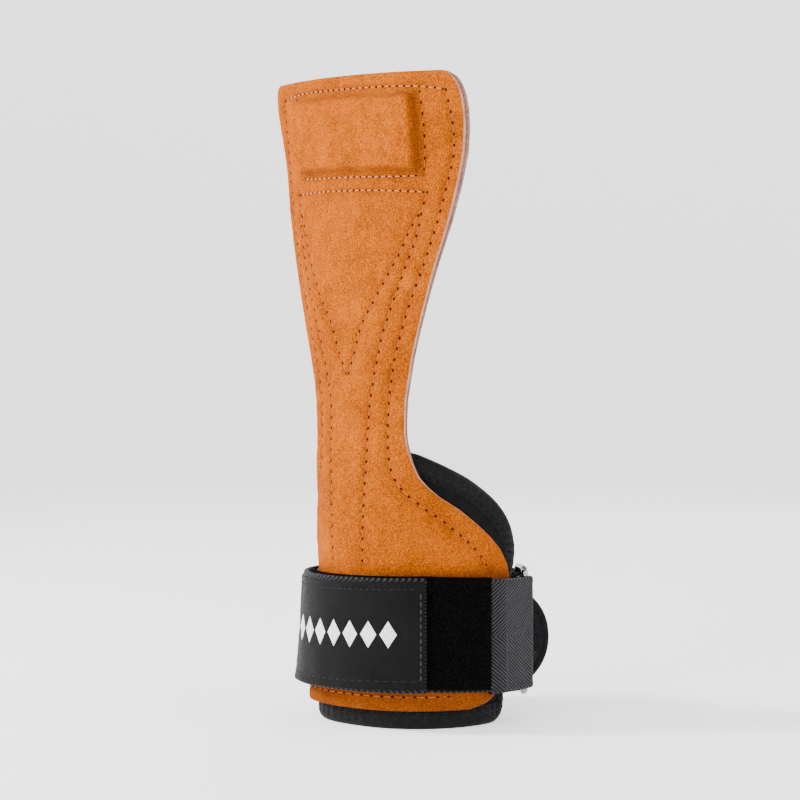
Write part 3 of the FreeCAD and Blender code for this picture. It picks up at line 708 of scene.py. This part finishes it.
# hem stitches along the bottom of the leather, below the strap
hem = np.stack([np.linspace(-62, 62, 400) * math.pi / 180 * 37, np.full(400, 12.3)], -1)
hem = resample(hem, 3.95)
P, N = face_points(hem[:, 0], hem[:, 1], 0.0)
V, F, W = capsules([(P[i] + (P[i + 1] - P[i]) * .12, P[i + 1] - (P[i + 1] - P[i]) * .12, N[i], 0.22, -0.02) for i in range(len(P) - 1)])
o = build("hem_thread", V, F, THREAD_SUNK, wuv=W)
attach(o, "cuff"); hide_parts("leather_hem_thread")
V, F = dimples([(P[i], N[i], P[min(i + 1, len(P) - 1)] - P[max(i - 1, 0)], 0.62, 0.40) for i in range(len(P))])
o = build("hem_holes", V, F, HOLE)
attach(o, "cuff")

# ------------------------------------------------------------------ wrist pad
RM, RP = 30.4, 33.4                     # middle of the pad's thickness, and the radius that its arc lengths are taken at
K = math.pi / 180 * RP
right = [(41.6, 98.6), (50, 96.7), (58, 94.9), (69, 92.1), (79, 89.6), (89, 86.4), (98, 82.4), (106, 77.5), (113, 71.5), (117.5, 64), (119.5, 54), (119.5, 20), (117, 4), (108, 0.35)]
left = [(-108, 0.35), (-140, 0.35), (-148, 3), (-148, 42), (-140, 45.5), (-121, 47), (-118.5, 56), (-116.5, 64), (-112, 71.5), (-106, 77.5),
        (-98, 82.4), (-89, 86.4), (-79, 89.6), (-69, 92.1), (-58, 94.9), (-50, 96.7), (-41.6, 98.6), (-20, 99.2), (20, 99.2)]
ol = np.array(right + [(60, 0.35), (0, 0.35), (-60, 0.35)] + left, float)
ol[:, 0] *= K
ol = resample(np.concatenate([ol, ol[:1]]), 0.5)[:-1]
n_ol = len(ol)
kk = np.exp(-0.5 * (np.arange(-24, 25) * 0.5 / 2.4) ** 2)
kk /= kk.sum()
ol = np.stack([np.convolve(np.concatenate([ol[-24:, i], ol[:, i], ol[:24, i]]), kk, "valid") for i in (0, 1)], -1)
ol_c = np.concatenate([ol, ol[:1]])


def pad_flare(S, z):
    th = S / K
    return 4.6 * sstep(th, 84, 117) * sstep(z, 36, 66) + 0.4 * sstep(th, 70, 110) - 0.5 * sstep(-th, 118, 148)


def pad_xyz(S, z, h):
    a = S / RP
    r = RM + h + pad_flare(S, z)
    return np.stack([r * np.sin(a), -r * np.cos(a), z], -1)


EL, HM = 3.0, 2.55


def pad_h(d):
    q = np.clip(d / EL, 0, 1)
    return HM * np.sqrt(np.maximum(1 - (1 - q) ** 2, 0)) + 0.35 * sstep(d, 6, 16) - 0.12 * np.exp(-((d - 7.9) / 0.6) ** 2)


i_min, i_max = int(np.argmin(ol[:, 0])), int(np.argmax(ol[:, 0]))
roll = np.roll(ol, -i_max, axis=0)
j = int(np.argmin(roll[:, 0]))
chain1, chain2 = roll[:j + 1], np.concatenate([roll[j:], roll[:1]])
low, high = (chain1, chain2) if chain1[:, 1].mean() < chain2[:, 1].mean() else (chain2, chain1)
low = low[np.argsort(low[:, 0])]
high = high[np.argsort(high[:, 0])]
s0, s1 = ol[:, 0].min() + 0.02, ol[:, 0].max() - 0.02
cs = np.concatenate([s0 + np.array([0, .1, .3, .6, 1.0, 1.5]), np.arange(s0 + 2.1, s1 - 2, 0.95), s1 - np.array([1.5, 1, .6, .3, .1, 0])])
fr = np.concatenate([[0, .002, .006, .012, .02], np.linspace(0.03, 0.97, 86), [.98, .988, .994, .998, 1]])
zb, zt = np.interp(cs, low[:, 0], low[:, 1]), np.interp(cs, high[:, 0], high[:, 1])
Sg = np.repeat(cs[:, None], len(fr), 1)
Zg = zb[:, None] + (zt - zb)[:, None] * fr[None]
dg = line_distance(Sg, Zg, ol_c[::2]).reshape(Sg.shape)
dg[:, 0] = dg[:, -1] = 0
wv = 0.10 * wave_noise(Sg, Zg, 17, 31) * sstep(dg, 4, 12)
outer = pad_xyz(Sg, Zg, pad_h(dg) + wv)
inner = pad_xyz(Sg, Zg, -pad_h(dg))
nu, nv = Sg.shape
V, F, W = join_parts([(outer.reshape(-1, 3), quads(nu, nv), None), (inner.reshape(-1, 3), quads(nu, nv), None)])
pad = build("wrist_pad", V, F, NEO)
bm = bmesh.new(); bm.from_mesh(pad.data)
bmesh.ops.remove_doubles(bm, verts=bm.verts, dist=0.00001)
bmesh.ops.recalc_face_normals(bm, faces=bm.faces)
bm.to_mesh(pad.data); bm.free()
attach(pad, "cuff"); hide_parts("pad_core", "pad_cover")

# knitted lining on the wrist side
keep = np.clip(dg, 0, None)
li = pad_xyz(Sg, Zg, -pad_h(dg) - 0.22 * sstep(dg, 7.2, 8.2) + 0.25 * (1 - sstep(dg, 6.6, 7.2)))
o = build("pad_lining_skin", li.reshape(-1, 3), quads(nu, nv), LINING)
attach(o, "cuff"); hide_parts("pad_lining")

# bound edge: a tape folded over the rim
tan = np.roll(ol, -1, axis=0) - np.roll(ol, 1, axis=0)
tan /= np.linalg.norm(tan, axis=1)[:, None]
nrm = np.stack([-tan[:, 1], tan[:, 0]], -1)
cen = ol.mean(0)
if ((cen - ol) * nrm).sum(1).mean() < 0:
    nrm = -nrm
BW = 7.4
phi = np.radians(np.linspace(84, -84, 19))
sec = [(BW + 0.1, pad_h(BW) - 0.1), (BW, pad_h(BW) + 0.30), (BW - 0.5, pad_h(BW) + 0.52), (BW - 1.6, pad_h(5.8) + 0.42), (4.6, pad_h(4.6) + 0.52), (3.6, pad_h(3.6) + 0.55)]
sec = [(float(a), float(b)) for a, b in sec]
rim = [(EL * (1 - math.cos(p)) - 0.5 * math.cos(p), HM * math.sin(p) + 0.5 * math.sin(p)) for p in phi]
sec = sec + rim + [(a, -b) for a, b in sec[::-1]]
sec = np.array(sec)
Sb = ol[:, None, 0] + nrm[:, None, 0] * sec[None, :, 0]
Zb = ol[:, None, 1] + nrm[:, None, 1] * sec[None, :, 0]
ua = np.arange(n_ol) * 0.5
pucker = (0.20 + 0.08 * wave_noise(ua, ua * 0, 14, 77)[:, None]) * np.cos(TAU * ua / 3.6)[:, None] * np.exp(-((sec[None, :, 0] - 4.5) / 2.2) ** 2)
bx = pad_xyz(Sb, Zb, sec[None, :, 1] * np.ones_like(Sb) + np.sign(sec[None, :, 1]) * pucker)
f = quads(n_ol, len(sec), wrap_u=True)
o = build("pad_binding_tape", bx.reshape(-1, 3), f, BIND_M)
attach(o, "cuff"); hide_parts("pad_binding")
items, th_items = [], []
for side in (1, -1):
    for dd, ph0 in ((2.9, 0.0), (6.0, 1.8)):
        u = np.arange(ph0, n_ol * 0.5, 3.6)
        ii = (u / 0.5)
        i0 = np.floor(ii).astype(int) % n_ol
        c2 = ol[i0] + nrm[i0] * dd
        c3 = ol[(i0 + 3) % n_ol] + nrm[(i0 + 3) % n_ol] * dd
        h = float(pad_h(dd)) + (0.50 if dd > 3 else 0.47)
        p, q = pad_xyz(c2[:, 0], c2[:, 1], side * h), pad_xyz(c3[:, 0], c3[:, 1], side * h)
        for m in range(len(p)):
            a = c2[m, 0] / RP
            n = np.array([math.sin(a), -math.cos(a), 0]) * side
            items.append((p[m], n, q[m] - p[m], 0.5, 0.34))
V, F = dimples(items, 9)
o = build("binding_stitch_holes", V, F, HOLE_DARK)
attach(o, "cuff")
u = np.arange(0, n_ol * 0.5, 3.6)
for side in (1, -1):
    i0 = ((u + 0.6) / 0.5).astype(int) % n_ol
    i1 = ((u + 3.0) / 0.5).astype(int) % n_ol
    d1 = 4.4
    a1, a2 = ol[i0] + nrm[i0] * d1, ol[i1] + nrm[i1] * d1
    h = side * (float(pad_h(d1)) + 0.52)
    p, q = pad_xyz(a1[:, 0], a1[:, 1], h), pad_xyz(a2[:, 0], a2[:, 1], h)
    for m in range(len(p)):
        g = a1[m, 0] / RP
        th_items.append((p[m], q[m], np.array([math.sin(g), -math.cos(g), 0]) * side, 0.22, 0.05))
V, F, W = capsules(th_items)
o = build("binding_thread", V, F, PAD_THREAD, wuv=W)
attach(o, "cuff")


# ------------------------------------------------------------------ straps
def arc(c, r, a0, a1, step=0.7):
    n = max(3, int(abs(math.radians(a1 - a0)) * r / step) + 1)
    t = np.radians(np.linspace(a0, a1, n))
    return np.stack([c[0] + r * np.cos(t), c[1] + r * np.sin(t)], -1)


def circ(r, th0, th1, step=0.7):
    return arc((0, 0), r, th0 - 90, th1 - 90, step)


def strip(P, t, z0, z1, edge=0.0, nz=44, across=40.0, wave=0.0, seed=1):
    """webbing along a plan line: verts, faces and woven coordinates (along, across, side)"""
    P = np.asarray(P, float)
    n = len(P)
    T = np.gradient(P, axis=0)
    T /= np.linalg.norm(T, axis=1)[:, None]
    N = np.stack([T[:, 1], -T[:, 0]], -1)
    u = np.concatenate([[0], np.cumsum(np.linalg.norm(np.diff(P, axis=0), axis=1))])
    z0 = np.broadcast_to(z0, n).astype(float)
    z1 = np.broadcast_to(z1, n).astype(float)
    c = np.linspace(0, 1, nz)
    h = t / 2
    ph = np.radians(np.linspace(90, -90, 7))[1:-1]
    ws = np.concatenate([np.full(nz, h), h * np.sin(ph), np.full(nz, -h), -h * np.sin(ph)])
    cz = np.concatenate([c, np.ones(5), c[::-1], np.zeros(5)])
    oz = np.concatenate([np.zeros(nz), h * np.cos(ph), np.zeros(nz), -h * np.cos(ph)])
    sel = np.exp(-((np.minimum(cz, 1 - cz) * across - 0.9) / 0.7) ** 2) * edge
    Z = z0[:, None] + h + (z1 - z0 - 2 * h)[:, None] * cz[None] + oz[None]
    Wn = ws[None] + np.sign(ws)[None] * sel[None] + wave * wave_noise(np.repeat(u[:, None], len(cz), 1), Z, 16, seed)
    V = np.stack([P[:, None, 0] + N[:, None, 0] * Wn, P[:, None, 1] + N[:, None, 1] * Wn, Z], -1)
    m = len(cz)
    wu = np.stack([np.repeat(u[:, None], m, 1), np.repeat((cz * across)[None], n, 0), np.zeros((n, m))], -1)
    F = [tuple(x) for x in quads(n, m, wrap_v=True)]
    V, wu = V.reshape(-1, 3), wu.reshape(-1, 3)
    for row, base in ((0, 0), ((n - 1) * m, 1)):
        off = len(V)
        V = np.concatenate([V, V[row:row + m]])
        wu = np.concatenate([wu, wu[row:row + m]])
        F.append(tuple(range(off, off + m)))
    return V, F, wu


def tilt(th):
    """the strap is not quite level: a little high in front, low at the ring"""
    return np.interp(th, [-150, -60, 50, 85, 120], [0, 0.9, 1.2, 0.0, -1.2])


def th_of(P):
    return np.degrees(np.arctan2(P[:, 0], -P[:, 1]))


NEAR, FAR = (39.8, 6.0), (38.0, -8.5)
uvp = lambda p: np.array([(p[0] + p[1]) / math.sqrt(2), (p[0] - p[1]) / math.sqrt(2)])
NB, FB = uvp(NEAR), uvp(FAR)
polar = lambda p: math.degrees(math.atan2(p[1], p[0]))

# webbing sewn over the leather, then on to the ring and back round its near bar
rc, rw = 37.8, 1.25 + 0.3 + 0.8
a_bar = polar(NB)
a_leave = a_bar - math.degrees(math.acos((rc - rw) / np.linalg.norm(NB)))
e_l = np.array([math.cos(math.radians(a_leave)), math.sin(math.radians(a_leave))])
p0, p1 = e_l * rc, NB + e_l * rw
front_path = arc((0, 0), rc, -118 - 90, a_leave)
th = th_of(front_path)
V, F, W = strip(front_path, 1.6, 13.0 + tilt(th), 53.6 + tilt(th), 0.12)
o = build("front_webbing_strap", V, F, WEB_BACK, wuv=W)
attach(o, "cuff"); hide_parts("front_webbing")
loop = arc(NB, rw, a_leave, a_leave + 206, 0.35)
q1 = loop[-1]
dq = np.array([-math.sin(math.radians(a_leave + 206)), math.cos(math.radians(a_leave + 206))])
lead = circ(rc + 1.7, 86, a_leave + 90 - 0.0)
k = np.linspace(0, 1, len(lead))[:, None] ** 2
lead = lead * 1.0
straight = resample([p0 + e_l * 1.7 * 0.9, p1], 0.7)
blend_in = np.linspace(1, 0, len(straight))[:, None] * 0
anchor = np.concatenate([lead, straight[1:], loop[1:], resample([q1, q1 + dq * 5.2], 0.7)[1:]])
anchor = resample(anchor, 0.6)
na = len(anchor)
th = np.minimum(th_of(anchor), 112)
V, F, W = strip(anchor, 1.5, 12.4 + tilt(th), 53.6 + tilt(th), 0.16, nz=60, wave=0.03)
o = build("ring_anchor_strap", V, F, WEB, wuv=W)
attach(o, "cuff"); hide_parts("ring_anchor_webbing")

# loop tape with its own fuzz
lt = circ(39.3, -61, 87)
th = th_of(lt)
V, F, W = strip(lt, 1.4, 13.9 + tilt(th), 54.2 + tilt(th), 0.1, nz=50, wave=0.08, seed=4)
o = build("loop_tape_pile", V, F, LOOP, wuv=W)
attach(o, "cuff"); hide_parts("loop_tape")
g = np.random.default_rng(11)
V, F = [], []
n_f = 5200
ths, zz = g.uniform(49.5, 86.5, n_f), g.uniform(16.2, 52.6, n_f)
for a_, z_ in zip(ths, zz):
    z_ = z_ + float(tilt(a_))
    ang = g.uniform(0, TAU)
    L, hgt, wr = g.uniform(0.5, 1.1), g.uniform(0.35, 0.8), 0.055
    a0 = math.radians(a_)
    er, et = np.array([math.sin(a0), -math.cos(a0), 0]), np.array([math.cos(a0), math.sin(a0), 0])
    dx = et * math.cos(ang) + np.array([0, 0, 1.0]) * math.sin(ang)
    c = er * 39.9 + np.array([0, 0, z_])
    off = len(V)
    side = np.cross(er, dx)
    for t in (0, .25, .5, .75, 1):
        p = c + dx * (L * (t - .5)) + er * (hgt * math.sin(math.pi * t)) + side * (0.2 * math.sin(TAU * t))
        V += [p + side * wr, p + er * wr * 1.7, p - side * wr]
    for i in range(4):
        b0 = off + i * 3
        for j_ in range(3):
            F.append((b0 + j_, b0 + (j_ + 1) % 3, b0 + 3 + (j_ + 1) % 3, b0 + 3 + j_))
o = build("loop_tape_fuzz", np.array(V), F, FUZZ)
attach(o, "cuff")

# free strap round the back of the wrist, through the ring and back
t_free, r1 = 1.5, 35.4
bw = 1.25 + 1.1 + t_free / 2
dirc = lambda th_: np.array([math.sin(math.radians(th_)), -math.cos(math.radians(th_))])
c1 = dirc(-118) * (rc - r1)
aB = math.degrees(math.atan2(*(FB - c1)[::-1]))
a_off = aB + math.degrees(math.acos((r1 + bw) / np.linalg.norm(FB - c1)))
e1 = np.array([math.cos(math.radians(a_off)), math.sin(math.radians(a_off))])
sA, sB = c1 + e1 * r1, FB - e1 * bw
start = polar(dirc(-118) * rc - c1)
while start < a_off:
    start += 360
r2 = 42.15
phi2 = -190.0
dphi = np.array([math.cos(math.radians(phi2)), math.sin(math.radians(phi2))])
reach = r2 - bw
ee = (reach ** 2 - FB @ FB) / (2 * (reach - FB @ dphi))
c2 = dphi * ee
a_touch = polar(FB - c2)
wa, wb = a_off + 180, a_touch
while wb < wa:
    wb += 360
o1 = phi2
while o1 < a_touch:
    o1 += 360
h1 = -61 - 90 - 9
while h1 < o1:
    h1 += 360
free = np.concatenate([arc(c1, r1, start, a_off), resample([sA, sB], 0.7)[1:], arc(FB, bw, wa, wb, 0.35)[1:],
                       arc(c2, r2 - ee, a_touch, o1)[1:], arc((0, 0), r2, o1, h1)[1:]])
keepm = np.concatenate([[True], np.linalg.norm(np.diff(free, axis=0), axis=1) > 1e-4])
free = resample(free[keepm], 0.5)
frac = np.linspace(0, 1, len(free))
zt0 = 13.0 + 0.6 * sstep(frac, 0.5, 1.0) - 0.6 * np.exp(-((frac - 0.34) / 0.12) ** 2)
V, F, W = strip(free, t_free, zt0, zt0 + 40.6, 0.03)
o = build("free_strap", V, F, WEB_BACK, wuv=W)
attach(o, "cuff"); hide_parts("free_strap_webbing")

# strap tip: webbing, hook tape and label
HB = lambda o_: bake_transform(o_)
tp = circ(42.15, -70.1, 49)
th = th_of(tp)
V, F, W = strip(tp, 1.5, 13.2 + tilt(th), 53.8 + tilt(th), 0.14, wave=0.03, seed=9)
o = build("strap_tip_strap", V, F, WEB_BACK, wuv=W)
HB(o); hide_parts("strap_tip_webbing")
hp = circ(40.9, -58, 44)
th = th_of(hp)
V, F, W = strip(hp, 1.0, 14.4 + tilt(th), 52.6 + tilt(th), 0.05, wave=0.03, seed=10)
o = build("hook_tape_strip", V, F, HOOK, wuv=W)
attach(o, "strap_tip"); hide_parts("hook_tape")


def label_edge(th_):
    top = 52.9 + 0.9 * sstep(th_, -30, 48)
    bot = 14.7 + 0.9 * sstep(th_, -30, 48)
    return bot + 0.0, top + 0.0


lp = circ(43.2, -56, 48.2)
th = th_of(lp)
lb, ltp = label_edge(th)
V, F, W = strip(lp, 0.7, lb, ltp, 0.05, nz=60, wave=0.07, seed=12)
o = build("label_panel", V, F, LABEL, wuv=W)
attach(o, "strap_tip"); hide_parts("label_patch")


def on_label(th_, z, r=43.55):
    a = np.radians(th_)
    return np.stack([r * np.sin(a), -r * np.cos(a), np.broadcast_to(z, np.shape(a))], -1), np.stack([np.sin(a), -np.cos(a), 0 * a], -1)


rows, cols = [], []
for kind in ("top", "bottom", "col"):
    if kind == "col":
        zz = np.arange(18.6, 51.5, 2.6)
        tt = np.full(len(zz), 46.3)
    else:
        tt = np.arange(-54, 46.3, 3.05 if kind == "top" else 4.3)
        b_, t_ = label_edge(tt)
        zz = t_ - 2.7 if kind == "top" else b_ + 3.1
    P, N = on_label(tt, zz)
    for i in range(len(P) - 1):
        d = P[i + 1] - P[i]
        (cols if kind == "col" else rows).append((P[i] + d * 0.16, P[i + 1] - d * 0.16, N[i], 0.22, 0.05))
V, F, W = capsules(cols)
o = build("label_column_stitches", V, F, LABEL_COLUMN, wuv=W)
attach(o, "strap_tip")
V, F, W = capsules(rows)
o = build("label_stitches", V, F, LABEL_THREAD, wuv=W)
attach(o, "strap_tip"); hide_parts("label_thread")

# plain printed motif: a row of diamonds
V, F = [], []
for tc in np.linspace(-38, 31, 8):
    off = len(V)
    zc = 34.4 + 0.8 * float(sstep(tc, -30, 48))
    for (dx, dz, rr_) in [(0, 0, 43.72)] + [(math.cos(x) * 3.1, math.sin(x) * 4.7, 43.70) for x in np.arange(4) * math.pi / 2] \
            + [(math.cos(x) * 3.2, math.sin(x) * 4.8, 43.50) for x in np.arange(4) * math.pi / 2]:
        a = math.radians(tc) + dx / 43.6
        V.append((rr_ * math.sin(a), -rr_ * math.cos(a), zc + dz))
    for j_ in range(4):
        k_ = (j_ + 1) % 4
        F.append((off, off + 1 + j_, off + 1 + k_))
        F.append((off + 1 + j_, off + 5 + j_, off + 5 + k_, off + 1 + k_))
o = build("label_motif", np.array(V), F, PRINT, flat=True)
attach(o, "strap_tip")

# ------------------------------------------------------------------ ring
h = 43.0 / 2 + 1.25
rf, zc = 2.4, 32.5
ex = (FB - NB) / np.linalg.norm(FB - NB)
wd = np.linalg.norm(FB - NB)
pl = []
for ca, cb, g0 in ((rf, h - rf, 180), (wd - rf, h - rf, 90), (wd - rf, -h + rf, 0), (rf, -h + rf, -90)):
    for a_ in np.radians(np.linspace(g0, g0 - 90, 15)):
        pl.append((ca + rf * math.cos(a_), cb + rf * math.sin(a_)))
pl = resample(np.array(pl + pl[:1]), 0.5)[:-1]
C = np.stack([NB[0] + ex[0] * pl[:, 0], NB[1] + ex[1] * pl[:, 0], zc + pl[:, 1]], -1)
T = np.roll(C, -1, axis=0) - np.roll(C, 1, axis=0)
T /= np.linalg.norm(T, axis=1)[:, None]
pn = np.array([-ex[1], ex[0], 0.0])
Q = np.cross(T, pn)
V = np.concatenate([(C + 1.25 * (pn * math.cos(x) + Q * math.sin(x)))[:, None] for x in np.linspace(0, TAU, 25)[:-1]], 1)
o = build("chrome_ring", V.reshape(-1, 3), quads(len(C), 24, wrap_u=True, wrap_v=True), CHROME)
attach(o, "ring"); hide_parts("strap_ring")

# ------------------------------------------------------------------ end tab
A, B, TP = uvp((29.9, 8.3)), uvp((38.9, -1.2)), uvp((49.5, -5.4))
dB = (TP - B) / np.linalg.norm(TP - B)
nBv = np.array([dB[1], -dB[0]])
mm = A - B
rad = (mm @ mm) / (2 * abs(mm @ nBv))
cB = B + nBv * rad * (1 if mm @ nBv > 0 else -1)
aA, aE = polar(A - cB), polar(B - cB)
while aE - aA > 180:
    aE -= 360
while aE - aA < -180:
    aE += 360
path = resample(np.concatenate([arc(cB, rad, aA, aE, 0.4), resample([B, TP], 0.5)[1:]]), 0.45)
Lp = (len(path) - 1) * 0.45
dp = np.linspace(0, np.linalg.norm(np.diff(path, axis=0), axis=1).sum(), len(path))
Lp = dp[-1]
TZ, TH_, RO = 29.2, 17.5, 19.5
half = np.where(dp < Lp - RO, TH_, np.minimum(TH_, np.sqrt(np.maximum(RO ** 2 - (np.clip(dp - (Lp - RO), 0, RO)) ** 2, 0))))
kz = np.sin(np.linspace(-math.pi / 2, math.pi / 2, 61))
Tt = np.gradient(path, axis=0)
Tt /= np.linalg.norm(Tt, axis=1)[:, None]
Nt = np.stack([Tt[:, 1], -Tt[:, 0]], -1)
dd_, zz_ = np.repeat(dp[:, None], 61, 1), half[:, None] * kz[None]
tab_ol = np.concatenate([np.stack([dp, half], -1), np.stack([dp, -half], -1)[::-1]])
dt = line_distance(dd_, zz_, tab_ol[:]).reshape(dd_.shape)
hh = 1.8 * np.sqrt(np.maximum(1 - (1 - np.clip(dt / 1.7, 0, 1)) ** 2, 0)) - 0.38 * np.exp(-((dt - 3.1) / 0.55) ** 2) * (dt > 0.8) - 0.12 * sstep(dt, 3.2, 4.5)
hh[:, 0] = hh[:, -1] = 0
hh[-1] = 0


def tabside(sg):
    return np.stack([path[:, None, 0] + Nt[:, None, 0] * hh * sg, path[:, None, 1] + Nt[:, None, 1] * hh * sg, TZ + zz_], -1).reshape(-1, 3)


n1_, n2_ = dd_.shape
V, F, W = join_parts([(tabside(1), quads(n1_, n2_), None), (tabside(-1), quads(n1_, n2_), None)])
rimf = (dt.ravel() < 2.9)
fm = quads(n1_, n2_)
is_rim = rimf[fm].all(1).astype(int)
o = build("end_tab", V, F, [NEO_TAB, BIND_M], index=np.concatenate([is_rim, is_rim]))
bm = bmesh.new(); bm.from_mesh(o.data)
bmesh.ops.remove_doubles(bm, verts=bm.verts, dist=0.00002)
bmesh.ops.recalc_face_normals(bm, faces=bm.faces)
bm.to_mesh(o.data); bm.free()
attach(o, "cuff"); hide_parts("tab_core", "tab_binding")

# ------------------------------------------------------------------ stage, light, camera
fm_ = Mat("floor", 0.9, Specular_IOR_Level=0.1)
fm_.b.inputs["Base Color"].default_value = (0.88, 0.88, 0.88, 1)
fm_.b.inputs["Emission Color"].default_value = (1, 1, 1, 1)
fm_.b.inputs["Emission Strength"].default_value = 0.85
prof = [(0.0, 0.0), (0.6, 0.0), (1.6, 0.0), (2.2, 0.02), (2.7, 0.12), (3.1, 0.35), (3.4, 0.8), (3.5, 1.5), (3.5, 3.0)]
prof = resample(smooth_line(prof, 8), 0.08)
ns = 96
aa = np.linspace(0, TAU, ns + 1)[:-1]
V = np.concatenate([np.stack([p[0] * np.cos(aa), p[0] * np.sin(aa), np.full(ns, max(p[1], 0.0))], -1)[:, None] for p in prof[1:]], 1)
V = V.transpose(1, 0, 2).reshape(-1, 3)
F = [tuple(x) for x in quads(len(prof) - 1, ns, wrap_v=True)] + [tuple(range(ns))]
me = bpy.data.meshes.new("floor")
me.from_pydata(V.tolist(), [], F)
me.materials.append(fm_.m if isinstance(fm_, Mat) else fm_)
me.polygons.foreach_set("use_smooth", [True] * len(me.polygons))
floor = bpy.data.objects.new("floor", me)
bpy.context.scene.collection.objects.link(floor)

w = bpy.data.worlds.new("studio")
bpy.context.scene.world = w
w.use_nodes = True
w.node_tree.nodes["Background"].inputs[0].default_value = (1, 1, 1, 1)
w.node_tree.nodes["Background"].inputs[1].default_value = 0.55


def area(name, loc, target, size, power, color=(1, 1, 1)):
    from mathutils import Vector
    L = bpy.data.lights.new(name, "AREA")
    L.shape, L.size, L.energy, L.color = "DISK", size, power, color
    ob = bpy.data.objects.new(name, L)
    ob.location = loc
    ob.rotation_euler = (Vector(target) - Vector(loc)).to_track_quat("-Z", "Y").to_euler()
    bpy.context.scene.collection.objects.link(ob)


area("key", (-0.75, -0.85, 0.80), (0, 0, 0.13), 0.32, 30)
area("soft", (0.15, -1.20, 0.55), (0, 0, 0.12), 0.7, 9)
area("fill", (1.1, 0.35, 0.7), (0, 0, 0.12), 0.9, 4)
area("back", (-0.6, 1.2, 1.0), (0, 0, 0.12), 0.9, 9)

cam = bpy.data.objects.new("camera", bpy.data.cameras.new("camera"))
cam.data.lens, cam.data.sensor_width = 88.875, 36.0
cam.data.clip_start, cam.data.clip_end = 0.02, 50
cam.location = (0.51666, -0.52510, 0.1177)
cam.rotation_euler = (math.pi / 2, 0, math.pi / 4)
bpy.context.scene.collection.objects.link(cam)
bpy.context.scene.camera = cam
